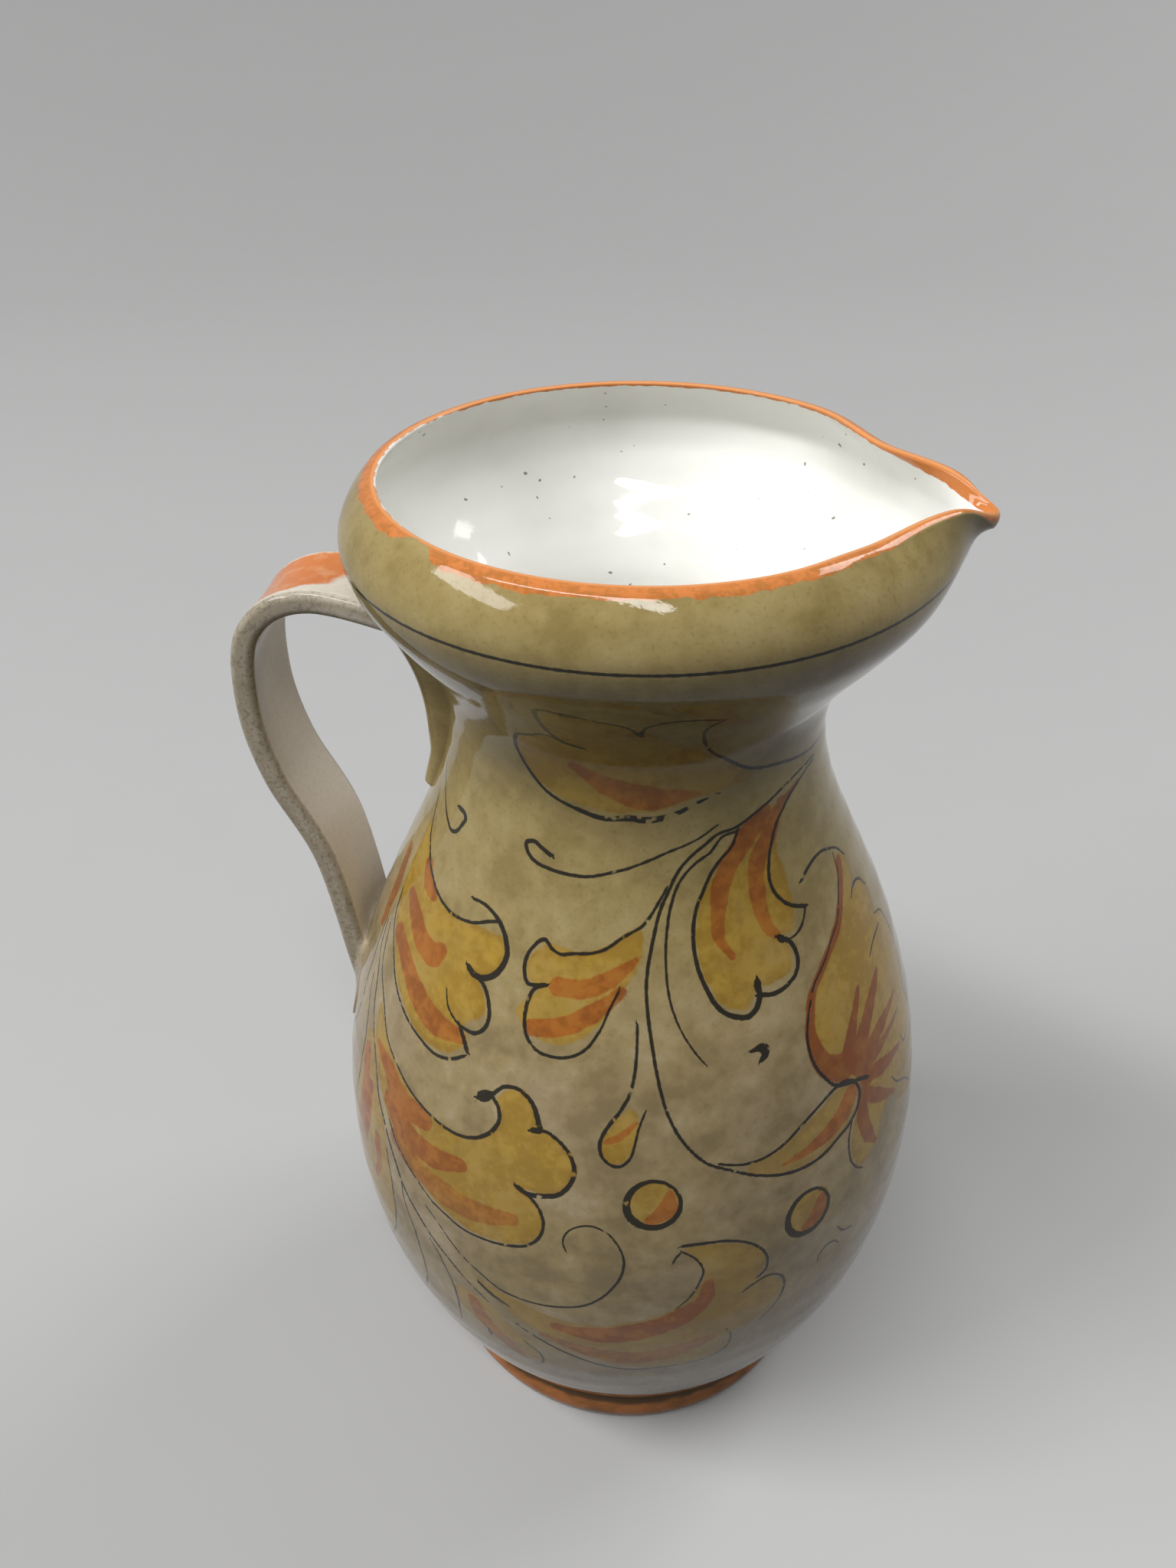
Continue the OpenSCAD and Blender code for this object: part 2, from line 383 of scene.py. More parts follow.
    def place(self, turn: Array, r: Array, z: Array, behind: Array) -> Array:
        """Sets a point of the wall in space, with the pouring lip pulled out.

        With s the share of the bowl's height and a the angle from the lip's middle, the wall moves
        out by reach s^6 exp(-(hypot(a, tip) / spread)^1.1), less a pinch beside the lip, plus a swell
        below it, and drops by s^4 (droop + dip). Both fade out towards the ends of the lip's arc. The
        wall keeps its thickness at the tip: there, what lies behind the outer face is set off along the
        pulled wall's own normal. What stands above the rim goes on along the wall.

        Args:
            turn: angle round the jug in radians.
            r: radius in millimetres.
            z: height in millimetres.
            behind: distance behind the outer face in millimetres.

        Returns:
            Points with a last axis of three.
        """
        share = np.clip((z - self.collar_z) / (self.rim_z - self.collar_z), 0.0, 1.0)
        angle = np.abs((np.degrees(turn) + 90.0) % 360.0 - 180.0)
        fade = ease((self.lip_arc - angle) / self.lip_fade)
        point = np.hypot(angle, self.lip_tip_arc) / self.lip_spread
        pull = self.lip_reach * share**self.lip_wall_power * np.exp(-(point**self.lip_point_power))
        push = (
            pull
            - self.lip_pinch * share**2 * bell(angle - self.pinch_angle, self.pinch_spread)
            + self.lip_swell * np.sin(np.pi * share**self.swell_power) * bell(angle, self.swell_spread)
        )
        drop = share**self.droop_power * (
            self.lip_droop * bell(angle, self.droop_spread)
            + self.lip_dip * bell(angle - self.pinch_angle, self.dip_spread)
        )
        tall = np.maximum(share, self.least_share) * (self.rim_z - self.collar_z)
        lean = fade * self.lip_wall_power * pull / tall
        rise = 1.0 - fade * self.droop_power * drop / tall
        long, above = np.hypot(lean, rise), np.maximum(z - self.rim_z, 0.0)
        behind = behind * bell(angle, self.droop_spread)
        far = r + fade * push + behind * (1.0 - rise / long) + above * lean / long
        high = z - fade * drop + behind * lean / long - above * (1.0 - rise / long)
        far, high, turn = np.broadcast_arrays(far, high, turn)
        return np.stack([far * np.sin(turn), -far * np.cos(turn), high], axis=-1)

    def outer_line(self, low: float, high: float, rows: int) -> WallLine:
        """Runs up the outer face."""
        z = np.linspace(low, high, rows)
        none = np.zeros(rows)
        return WallLine(self.outer_r(z), z, self.slope(z, False), none + 1, none + 1, none, none)

    def inner_line(self, high: float, low: float, rows: int) -> WallLine:
        """Runs down the inner face."""
        z = np.linspace(high, low, rows)
        none = np.zeros(rows)
        return WallLine(self.inner_r(z), z, -self.slope(z, True), none - 1, none, none + 1, none + 1)

    def crown_line(self, rows: int) -> WallLine:
        """Runs over the rim: a Hermite arc that leaves along the outer face and lands along the inner.

        Args:
            rows: how many points lie on the arc, without its ends.

        Returns:
            The arc, inside the jug from its middle on.
        """
        share = np.linspace(0.0, 1.0, rows + 2)[1:-1]
        edge = np.array(self.rim_z)
        way_in = np.array([float(self.slope(edge, True)), 1.0])
        way_out = np.array([self.rim_slope, 1.0])
        start = np.array([self.rim_r, self.rim_z])
        end = np.array([self.rim_r - self.rim_wall, self.rim_z])
        leave, land = self.rim_turn * unit(way_out), -self.rim_turn * unit(way_in)
        at = hermite(share[:, None], start, leave, end, land)
        step = 1e-4
        way = hermite(share[:, None] + step, start, leave, end, land) - at
        none, inside = np.zeros(rows), (share > 0.5) * 1.0
        return WallLine(at[:, 0], at[:, 1], way[:, 0] / step, way[:, 1] / step, none, none, inside)

    def spigot_line(self, z: float) -> WallLine:
        """Makes the raised half-step that enters the piece above a seam."""
        return WallLine.seat(((self.joint_r(z), z), (self.joint_r(z), z + self.spigot_h)))

    def socket_line(self, z: float) -> WallLine:
        """Makes the cut-back that the spigot below a seam enters."""
        return WallLine.seat(((self.joint_r(z), z + self.spigot_h), (self.joint_r(z), z)))

    def carry(self, turns: Array, line: WallLine) -> tuple[Array, Array]:
        """Carries a line round the jug.

        Args:
            turns: the angles of the grid's columns in radians.
            line: the line that gives the grid's rows.

        Returns:
            Points and outward normals on a grid of columns by rows, the normals from central
            differences across the turn and along the line.
        """

        def at(turn: float, step: float) -> Array:
            """Places the whole grid, shifted by a turn and by a step along the line."""
            angle, z = turns[:, None] + turn, line.z + step * line.way_z
            r = line.r + step * line.way_r
            behind = (1.0 - line.ridge) * (self.outer_r(np.minimum(z, self.rim_z)) - r)
            r = r + line.ridge * self.ridges(angle, z) + line.swirl * self.swirls(angle, z)
            return self.place(angle, r, z, behind)

        across = at(self.turn_step, 0.0) - at(-self.turn_step, 0.0)
        along = at(0.0, self.line_step) - at(0.0, -self.line_step)
        return at(0.0, 0.0), unit(np.cross(across, along))


@dataclass
class Piece:
    """A piece of the visual model, which rides on the body and stands for one CAD node."""

    NODE: ClassVar[str] = ""
    SLOT: ClassVar[str] = ""
    FORM: ClassVar[str] = "shell"
    SHARP: ClassVar[Optional[float]] = None

    wall: JugWall

    def shell(self) -> Shell:
        """Works out the piece's closed surface."""
        raise NotImplementedError

    def build(self, material: bpy.types.Material) -> None:
        """Makes the piece in its finish and ties it to the CAD model.

        Args:
            material: the finish that all its faces take.
        """
        made = self.shell().to_object(f"{self.NODE}_{self.FORM}", material)
        if self.SHARP is not None:
            made.data.set_sharp_from_angle(angle=math.radians(self.SHARP))
        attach(made, BODY)
        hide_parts(self.NODE)
        triangles = sum(len(face.vertices) - 2 for face in made.data.polygons)
        LOG.info("%s: %d triangles, slot %s", made.name, triangles, self.SLOT)


# About the length of one degree of turn on the wall, in millimetres
DEGREE = 1.1


def smooth_line(points: Points, spacing: float, closed: bool = False) -> tuple[Array, Array]:
    """Draws a smooth curve through points on the wall, given as (turn in degrees, height in mm).

    The curve is a cubic Hermite curve over the chord length, with its slopes from the neighbours.

    Args:
        points: the points in order.
        spacing: distance between the samples in millimetres.
        closed: whether the curve comes back to its first point.

    Returns:
        The samples as (turn, height) rows, and each sample's share of the points' count.
    """
    at = np.array(points, float)
    if closed:
        at = np.concatenate([at[-1:], at, at[:2]])
    chord = np.hypot(np.diff(at[:, 0]) * DEGREE, np.diff(at[:, 1]))
    length = np.concatenate([[0.0], np.cumsum(chord)])
    way = np.gradient(at, length, axis=0) if len(at) > 2 else np.diff(at, axis=0)[[0, 0]] / length[-1]
    low, high = (length[1], length[-2]) if closed else (0.0, length[-1])
    where = np.linspace(low, high, max(3, int((high - low) / spacing)))
    span = np.clip(np.searchsorted(length, where, side="right") - 1, 0, len(at) - 2)
    reach = (length[span + 1] - length[span])[:, None]
    share = (where - length[span])[:, None] / reach
    line = hermite(share, at[span], way[span] * reach, at[span + 1], way[span + 1] * reach)
    return line, (span + share[:, 0]) / (len(at) - 1)


@dataclass(frozen=True)
class Line:
    """A dark brush line: its points, its width at the start, the middle and the end, and its dryness."""

    points: Points
    widths: tuple[float, float, float] = (0.7, 0.95, 0.75)
    dry: float = 0.1


@dataclass(frozen=True)
class Wash:
    """A watery yellow patch inside a closed outline, with how deep its yellow is."""

    outline: Points
    depth: float = 0.9


@dataclass(frozen=True)
class Touch:
    """An orange brush touch: its points, and its half width at each of them."""

    points: Points
    halves: tuple[float, ...]
    depth: float = 0.85


Strokes = tuple[Union[Line, Wash, Touch], ...]

REACH = 3.0
THIN = (0.5, 0.75, 0.6)
BOLD = (0.9, 1.3, 1.3)
KNOB = (1.2, 2.0, 1.5)


BERRY_TURNS = range(40, 400, 30)


def berry(turn: float, z: float, half_turn: float, half_z: float) -> Strokes:
    """Paints a round berry, yellow on its left and orange on its right.

    Args:
        turn: its middle's turn in degrees.
        z: its middle's height in millimetres.
        half_turn: half its width in degrees.
        half_z: half its height in millimetres.

    Returns:
        Its outline, its wash and its orange touch.
    """

    def at(across: float, up: float) -> tuple[float, float]:
        """Sets a point by its shares of the half width and the half height."""
        return turn + half_turn * across, z + half_z * up

    angles = [math.radians(angle) for angle in BERRY_TURNS]
    ring = tuple(at(math.cos(angle), math.sin(angle)) for angle in angles)
    orange = Touch((at(0.6, 0.4), at(0.52, -0.2), at(-0.1, -0.7)), (1.3, 2.6, 1.5))
    return Line(ring + ring[:1], (0.8, 2.0, 0.8)), Wash(ring), orange


# The ornament of leaf scrolls, with points in (turn in degrees, height in mm)

# The leaf that lies round the neck under the bowl
NECK_LEAF = (
    Line(((-6.5, 211.6), (-11.7, 213.2), (-14, 217), (-14, 220.5), (-13.3, 223.7), (-7, 224), (-1, 222.8),
        (5, 221), (7.5, 218)), (1.0, 1.0, 0.9)),
    Line(((7.5, 218), (8.3, 221), (11.5, 223), (17.5, 223.6), (24, 222.5)), (0.9, 0.75, 0.6)),
    Line(((-10.3, 212.4), (-15, 214), (-19.6, 212.4), (-24.3, 210.9), (-26.6, 206.2), (-25.7, 203.6),
        (-23.3, 200.4), (-19.6, 197.4), (-14.5, 195.5), (-9.8, 194.5))),
    Line(((-9.8, 194.5), (-2.3, 193.2), (5.6, 193.6), (9.8, 193.2), (16.8, 194.1), (25.2, 196.6),
        (29.9, 197.7)), (1.0, 1.6, 0.5), dry=0.75),
    Line(((24, 222.5), (21.2, 219.5), (22, 215), (25, 210.5), (30, 207), (38, 202.5), (50, 200),
        (67, 197.3), (80, 197), (90, 196.8)), (0.7, 0.95, 0.6)),
    Wash(((-26, 207), (-20, 212), (-14, 214), (-13, 222), (-7, 223.5), (5, 221), (14, 215), (30, 206),
        (40, 200), (30, 198.5), (10, 195.5), (-6, 195.5), (-15, 197), (-23, 201))),
    Touch(((-10, 205.5), (-2, 201.5), (9, 198.6), (24, 198.6)), (1.0, 2.6, 3.2, 1.0), 0.75),
)

# The hooked tendril below the neck leaf
NECK_TENDRIL = (
    Line(((-16.3, 183), (-18.7, 183.8), (-21.9, 184.8), (-24.2, 183.9), (-22.9, 181.8), (-20, 180.5),
        (-16.3, 180.1), (-10.3, 179.9), (-4.7, 180.3), (0, 181.4), (5.1, 182.7), (10.3, 184.3),
        (16.3, 186.1), (21, 187.2), (25.2, 188.4), (29.6, 190.2)), (1.1, 0.75, 0.5)),
)

# The S-shaped stem from the lip down to the pointed leaf under the flower
LONG_STEM = (
    Line(((69.9, 194.6), (61.4, 194.3), (52.3, 192.9), (46.5, 191.4), (40.1, 189.8), (35.8, 188.7),
        (29.9, 188.2), (25.7, 186.4), (21.4, 184.2), (18.2, 181.5), (16.1, 178.4), (14, 175.2),
        (11.7, 168.8), (10.3, 162.9), (10, 158.6), (10.3, 154.3), (11.2, 147.9), (12.4, 140.4),
        (14.5, 132.3), (17.3, 126.4), (21, 121.6), (25.2, 118.9)), (0.7, 0.8, 0.8)),
    Line(((25.2, 118.9), (30.3, 115.7), (36.3, 113.2), (40.6, 112.6), (44.9, 113), (49.1, 114.8),
        (52.3, 116.1), (55, 118.6), (56.3, 121.3), (56.1, 123.5), (54.7, 125.7)), (0.8, 1.0, 1.0), dry=0.3),
    Line(((54.7, 125.7), (52.3, 127.1), (49.7, 127.1), (44.9, 125.4), (40.1, 123), (36.3, 120.8),
        (31, 119.3), (27.3, 119.5), (23.5, 120.8)), (1.0, 0.8, 0.7), dry=0.35),
    Line(((35.8, 187.8), (31, 187.3), (27.8, 184.9), (23, 182.9), (18.7, 179.5), (16.1, 174.6),
        (14.9, 169.3), (14.5, 162.9), (15.2, 156.4), (17.3, 150.5), (20.1, 145.7), (21.9, 143.2)),
        (0.7, 0.7, 0.45)),
    Wash(((29, 117.5), (36, 119.5), (45, 123.8), (51, 126), (54.5, 124), (55, 121), (52, 117), (46, 114),
        (38, 113.8), (31, 116)), 0.65),
    Touch(((36, 115.8), (43, 116.8), (50, 119.5), (54, 123)), (0.5, 1.6, 2.6, 2.4)),
)

# The small two-lobed leaf on the front of the shoulder
CENTRE_LEAF = (
    Line(((15.4, 178.6), (13.1, 175.7), (9.3, 171.4), (4.7, 169.1), (0, 166.3), (-3.3, 165.3), (-7, 164.8),
        (-10.3, 164.2), (-12.1, 164.7), (-14.5, 166.3), (-16.8, 164.5), (-18.2, 161.8), (-18.1, 159.1),
        (-16.8, 157), (-14.9, 157), (-12.4, 157.7)), (0.7, 0.8, 1.0)),
    Line(((-12.4, 157.7), (-14.9, 156.4), (-16, 153.2), (-16, 150), (-14.9, 146.8), (-12.6, 144.6),
        (-9.6, 144), (-6.1, 144.4), (-2.8, 146.2), (0, 150), (2.3, 155.4), (4.2, 159.1)), (1.0, 0.85, 0.5),
        dry=0.2),
    Wash(((-17.5, 160.5), (-14, 165), (-5, 164.8), (2, 167), (8.5, 169.5), (8.5, 165.5), (4, 158), (0, 152),
        (-5, 148), (-10, 146.8), (-15, 148.5), (-18.5, 151), (-16, 154), (-13.5, 157), (-16.5, 158))),
    Touch(((-9.5, 157.8), (-3, 158.5), (3, 161.5), (7.5, 164.5)), (2.3, 2.2, 1.8, 0.8)),
    Touch(((-14, 148.8), (-8, 150.2), (-2, 153.5), (4.5, 158.5)), (2.0, 2.2, 2.2, 1.2)),
)

# The three-lobed leaf that hangs from the stem on the shoulder
HANGING_LEAF = (
    Line(((36.3, 188.2), (34.2, 185.1), (30.5, 182.9), (27.5, 180.4), (24.9, 177.1), (23, 174.4),
        (21.7, 170.8), (21.3, 166.3), (21.9, 162.3), (23.5, 157.9), (26.2, 153.4), (29.4, 151.4),
        (32.6, 150.9), (34.5, 152.1), (35.5, 154.3), (35.5, 156.5)), (0.7, 0.9, 1.5)),
    Line(((35.3, 155.2), (35.5, 157.2)), KNOB, dry=-0.5),
    Line(((35.5, 154.3), (39.5, 153.4), (43.3, 154.1), (45.9, 155.4), (47.3, 157.9), (47, 160.5),
        (45.7, 162.3), (43.8, 163.2)), (1.2, 1.1, 1.2)),
    Line(((44.6, 162.6), (43.6, 163.5)), KNOB, dry=-0.5),
    Line(((45.7, 162.3), (47, 162.3), (50.2, 163), (52.3, 164.6), (53.8, 166.5)), THIN),
    Line(((53.8, 166.5), (51.8, 167.2), (49.1, 168.4), (46.5, 170.6), (44.8, 173), (44.4, 175.7),
        (45.4, 179.3), (47.5, 183.3), (49.7, 186), (52.9, 188.2), (57.1, 190.9), (61.4, 192.2),
        (66.2, 193.3), (69.9, 193.6)), (1.0, 0.8, 0.6)),
    Wash(((36, 186.5), (30, 181), (24.5, 175.5), (22.5, 168), (24, 160), (28, 154), (32, 152.5), (35, 156),
        (39, 156), (45, 157.5), (45.5, 161), (44, 164), (48, 164), (49, 167.5), (49, 176), (48, 183),
        (52, 188), (46, 190.5), (40, 189))),
    Touch(((45, 189.5), (38, 185.5), (32, 180.5), (28.5, 173), (27.8, 167.5), (30.5, 163.2)),
        (2.3, 2.6, 2.4, 1.9, 1.3, 0.8)),
    Touch(((52, 190), (46.5, 184.5), (41.5, 180), (40, 172.5), (41, 166.5), (43, 164.3)),
        (1.5, 2.2, 2.2, 2.0, 1.7, 1.2)),
    Touch(((60, 192.2), (50, 188.5)), (0.8, 1.2)),
)

# The drop-shaped bud and the comma beside it
DROP_BUD = (
    Line(((31.7, 143.8), (34, 143.9), (34.8, 143.4), (34.6, 142.2), (33.5, 141.3)), (0.8, 2.4, 1.2)),
    Line(((8.1, 152.4), (8.1, 148.9), (7.7, 142.5), (6.8, 138.2), (5.1, 134.5), (2.8, 130.7), (1.6, 127.5),
        (1.9, 124.3), (3.3, 122.5), (5.1, 121.9), (7, 123.7), (7.9, 127), (8.6, 130.7), (9.8, 134.5)),
        (0.6, 0.95, 0.5)),
    Wash(((2, 127), (4, 131.5), (7, 135), (8.3, 133), (8.2, 128), (6.5, 124), (4, 123), (2.2, 124.5))),
    Touch(((2.8, 127.5), (5, 128.7), (8, 132)), (0.8, 1.0, 0.7)),
)

# The two-lobed leaf at the left of the shoulder, with the hook above it
UPPER_LEAF = (
    Line(((-69.9, 178), (-67.6, 174.1), (-65.3, 170.9), (-61.1, 168.2), (-57.8, 166.2), (-54.1, 164.7),
        (-50.3, 163.3), (-46.6, 162.5), (-42.9, 162.1), (-38.7, 162.5), (-34, 163.6), (-30.3, 165.3),
        (-27.9, 166.1)), (0.6, 0.8, 0.8), dry=0.25),
    Line(((-37, 167.7), (-34, 168), (-29.8, 167.4), (-26.5, 165.8), (-24.2, 163.2), (-23.2, 160.7),
        (-24, 157.6), (-26.1, 155.2), (-28.9, 154), (-31.2, 154.3), (-32.2, 154.8)), (0.7, 1.35, 1.6)),
    Line(((-29.3, 154), (-27, 152.9), (-24.9, 150.1), (-24, 147.4), (-24.7, 144.6), (-27, 142.8),
        (-29.3, 142.7), (-32.1, 143.3), (-34.9, 145.2), (-36.4, 148)), (1.1, 1.0, 0.5)),
    Line(((-30.7, 142.9), (-28.9, 140.7), (-27.6, 138.7)), BOLD),
    Line(((-27.8, 137.3), (-30.7, 135), (-34.9, 133.5), (-39.6, 134), (-44.7, 135.2), (-48.9, 136.9),
        (-53.1, 139.5), (-56.4, 142.3), (-59.7, 145), (-62, 147.2), (-64.3, 149.7), (-66.2, 154.4)),
        (0.9, 0.8, 0.6), dry=0.35),
    Line(((-69.9, 185.1), (-65.7, 181.1), (-62, 178.8), (-57.3, 176.8), (-53.6, 176), (-51.3, 176.7),
        (-49.4, 179.2), (-48.3, 181.1), (-49.9, 181.8), (-52.7, 181.8)), (0.6, 0.75, 1.3)),
    Wash(((-66, 172), (-60, 167), (-50, 163), (-40, 162), (-30, 163), (-24.5, 162.5), (-24, 159.5),
        (-28, 155), (-31, 154), (-27, 151), (-26, 148), (-28.5, 145), (-30, 143), (-28, 141), (-31, 137),
        (-38, 135), (-46, 137), (-54, 141.5), (-60, 147), (-66, 155)), 0.95),
    Touch(((-58, 165.5), (-55, 163), (-51, 162)), (2.0, 2.4, 1.6)),
    Touch(((-60.5, 157), (-55, 155), (-49, 152.5), (-43, 152.5), (-41.5, 154)), (1.6, 2.6, 3.0, 3.0, 2.0)),
    Touch(((-59, 148.5), (-52, 146), (-45, 142.5), (-37, 140), (-30, 140.5)), (2.0, 2.6, 3.2, 3.0, 1.8)),
    Touch(((-74, 160), (-71, 152), (-70, 143)), (2.2, 2.6, 1.6)),
)

# The large three-lobed leaf at the left of the belly
BIG_LEAF = (
    Line(((-65, 146.6), (-62.9, 141.5), (-60.6, 137.2), (-57.3, 134), (-54, 130.9), (-51, 127.1),
        (-48, 124.9), (-45, 123.5)), THIN, dry=0.55),
    Line(((-45, 123.5), (-40, 121.1), (-35, 119.6), (-30, 118.7), (-25, 119.2), (-21.5, 121.1),
        (-18.8, 124.5), (-18, 127.5), (-18.8, 130.1), (-20.3, 131.6)), (0.7, 0.9, 1.1)),
    Line(((-22.4, 130.5), (-21.5, 131.1), (-20.5, 131.8)), (2.7, 2.9, 1.8), dry=-0.5),
    Line(((-20.3, 131.9), (-17.7, 134.8), (-14.9, 135.2), (-12.1, 133.4), (-10.3, 129.6), (-9.8, 127.5),
        (-11.2, 127.2)), (0.9, 1.1, 1.5)),
    Line(((-11.2, 127.2), (-8.9, 127.7), (-6.1, 126.2), (-3.7, 123.2), (-2.8, 120), (-3.5, 116.3),
        (-5.6, 113), (-8.4, 111.8), (-11.7, 111.4), (-13.1, 112.3)), (0.9, 1.1, 1.5)),
    Line(((-12.1, 112), (-9.8, 109.6), (-8.4, 106.6), (-8, 103.4), (-8.9, 99.6), (-11.2, 96.4),
        (-14.9, 94.5), (-19.6, 93.4), (-24.3, 93.2), (-28, 94.5), (-31.3, 95.6)), (0.9, 0.85, 0.7),
        dry=0.2),
    Line(((-31.3, 95.6), (-35.8, 98.8), (-40, 102.1), (-42.5, 104.2), (-45, 107.6)), THIN, dry=0.7),
    Wash(((-56, 131), (-50, 126), (-42, 121.5), (-34, 119), (-26, 119), (-20, 122.5), (-17.5, 127),
        (-19, 131), (-15, 135), (-12, 133), (-10.5, 128.5), (-6, 126), (-3, 120.5), (-5, 114), (-12, 112),
        (-9, 108), (-8.5, 103), (-12, 97), (-20, 94.5), (-28, 96), (-36, 100), (-44, 107), (-50, 115),
        (-55, 123))),
    Touch(((-53, 123), (-47, 120), (-42, 116.5), (-35, 116.8)), (1.2, 3.0, 4.2, 2.8)),
    Touch(((-46, 113), (-40, 109.5), (-32, 109), (-25, 111.5)), (2.2, 4.0, 3.2, 1.8)),
    Touch(((-43, 105), (-36, 102), (-28, 100.7), (-20, 101), (-14, 103)), (2.0, 3.2, 3.6, 3.0, 1.8), 0.65),
)

# The two round berries, yellow on their left and orange on their right
BERRIES = berry(11.4, 112.5, 4.8, 6.1) + berry(41.3, 99.1, 4.7, 6.2)

# The curl and the long leaf that sweeps round the bottom of the belly
BOTTOM_LEAF = (
    Line(((-3.8, 97.7), (-4.4, 100.6), (-3.6, 103.6), (-1.6, 105.5), (0.5, 106.1), (3.3, 104.6),
        (5.4, 101.1), (6.4, 96.8), (6, 92.2), (4.3, 87.2), (2.2, 83.4), (-0.9, 80), (-5.8, 77.8),
        (-11.4, 76.9), (-17, 77.8), (-21, 80.6), (-23.5, 82.5), (-27, 85.9), (-30, 89.6), (-33, 92.6)),
        THIN, dry=0.45),
    Line(((-21.2, 76.5), (-18.5, 74), (-15.3, 72.1)), (1.0, 1.4, 0.8)),
    Line(((-13.9, 64.9), (-9.3, 60.7), (-3.7, 56.9), (1.9, 53.6), (6.8, 51.9), (14, 52.5), (22, 53.5)),
        (0.8, 1.0, 0.5), dry=0.4),
    Line(((26, 67.3), (27.3, 63.5), (26.5, 57), (22, 53.5)), THIN, dry=0.4),
    Line(((28.5, 81.3), (30.6, 83), (33.4, 84), (35.5, 82.6), (36.9, 79.6), (37, 75.4), (35.5, 70.4),
        (32.7, 66.2)), (0.8, 0.75, 0.4), dry=0.25),
    Line(((14.9, 95.6), (15.5, 97.4), (16.3, 98.5)), THIN),
    Line(((16.5, 100.6), (20.1, 100.6), (24.3, 100), (28.5, 97.7), (31.3, 94.3), (32.7, 90.1), (32.4, 86.3),
        (31, 84.8)), (1.0, 0.8, 0.7)),
    Line(((16.6, 98.9), (19.1, 96), (20.4, 92.2), (19.8, 88), (18.4, 83.8), (15.9, 79.6)), (0.7, 0.6, 0.4),
        dry=0.4),
    Wash(((17, 99.5), (24, 99), (30, 95), (32, 90), (30.5, 85), (33, 83.5), (36.3, 79), (35.8, 73),
        (31, 68), (27, 65), (26, 58), (20, 54), (10, 54), (0, 58), (-8, 64), (-14, 69), (-18, 73.5),
        (-21.5, 77), (-14, 75.5), (-4, 72.5), (6, 74), (14, 78), (19, 84), (20.5, 91), (18.5, 97)), 0.75),
    Touch(((21.5, 88), (21, 82), (17, 76.5), (10, 71.5), (2, 69), (-6, 69.5)),
        (1.2, 2.0, 3.0, 3.6, 3.4, 1.6)),
    Touch(((-9, 64), (-1, 60.5), (8, 58.5), (16, 61), (23, 65)), (1.0, 2.4, 3.0, 3.2, 1.8), 0.6),
)

# The fan of dry stems below the handle, with the leaf among them
STEM_FAN = (
    Line(((-54.5, 120.7), (-52, 115.5), (-49.5, 109.5), (-46, 104.2), (-43, 99), (-40.5, 94.1),
        (-38.5, 90.4), (-35, 86.2), (-31, 81.7), (-27, 77.6), (-23.5, 73.9), (-20, 70.1)), (0.7, 1.0, 0.6),
        dry=0.4),
    Line(((-40.3, 93), (-40, 88.5), (-38.5, 83.2), (-37, 78), (-36.3, 72), (-36.3, 65.2), (-37.5, 58.5),
        (-40, 51.7)), THIN, dry=0.45),
    Line(((-32.8, 81.4), (-30.5, 77.6), (-29, 72.7), (-28, 67.5), (-28, 61.5), (-28.5, 55.5),
        (-29.3, 50.2)), THIN, dry=0.45),
    Line(((-68.1, 146.6), (-67.6, 141.9), (-67.4, 134.8), (-67.4, 129.3), (-67.1, 122.2), (-69.9, 112.8),
        (-73.7, 107.3)), THIN, dry=0.5),
    Line(((-66.7, 145.8), (-65.3, 140.3), (-63.4, 137.2), (-60.6, 131.7), (-58.3, 126.2), (-55.9, 122.2)),
        THIN, dry=0.4),
    Line(((-64.3, 132.4), (-62.5, 126.9), (-60.6, 122.2), (-59.9, 118.3), (-60.1, 113.6), (-60.5, 108.1),
        (-61.3, 101.8), (-62.5, 97.1)), THIN, dry=0.5),
    Line(((-45.5, 98.2), (-44.4, 93), (-43.8, 86.2), (-43.6, 81), (-44.3, 75), (-46, 69), (-49, 63),
        (-53, 56.2)), THIN, dry=0.45),
    Wash(((-57, 123), (-52, 114), (-47, 104), (-44.8, 94), (-44, 82), (-46.5, 70), (-52, 60), (-58, 62),
        (-62, 80), (-63, 95), (-61, 108), (-60.5, 117)), 0.7),
    Touch(((-57.5, 117), (-56.5, 108), (-57, 98), (-60, 88)), (2.0, 2.6, 2.6, 1.6)),
    Touch(((-53.5, 110), (-54, 100), (-56, 90)), (1.2, 1.8, 1.2)),
    Touch(((-49.5, 98), (-49, 90), (-51, 83)), (1.5, 1.6, 1.0)),
)

# The small leaf at the very bottom, and the two tiny curls at its right
LOW_LEAF = (
    Line(((-13, 57), (-10.3, 53.2), (-9.8, 49.5), (-10.8, 45.7), (-12.5, 43.9)), THIN),
    Line(((-21.3, 54.4), (-21.4, 52)), (1.2, 1.6, 1.0)),
    Line(((44.8, 78.8), (45, 81.7), (46.7, 83.4), (48.8, 82.6), (50, 80.5)), THIN),
    Line(((49.2, 87.2), (50.9, 84.2), (53.7, 82.6)), THIN),
    Wash(((-26, 70), (-21, 69.5), (-15, 61), (-10.5, 52), (-11.5, 46), (-15, 47), (-19, 52), (-24, 58),
        (-27.5, 62)), 0.7),
    Touch(((-23.3, 67), (-21.9, 59.5), (-18.4, 53.6), (-14.2, 46.8)), (1.8, 2.6, 2.6, 1.6), 0.7),
)

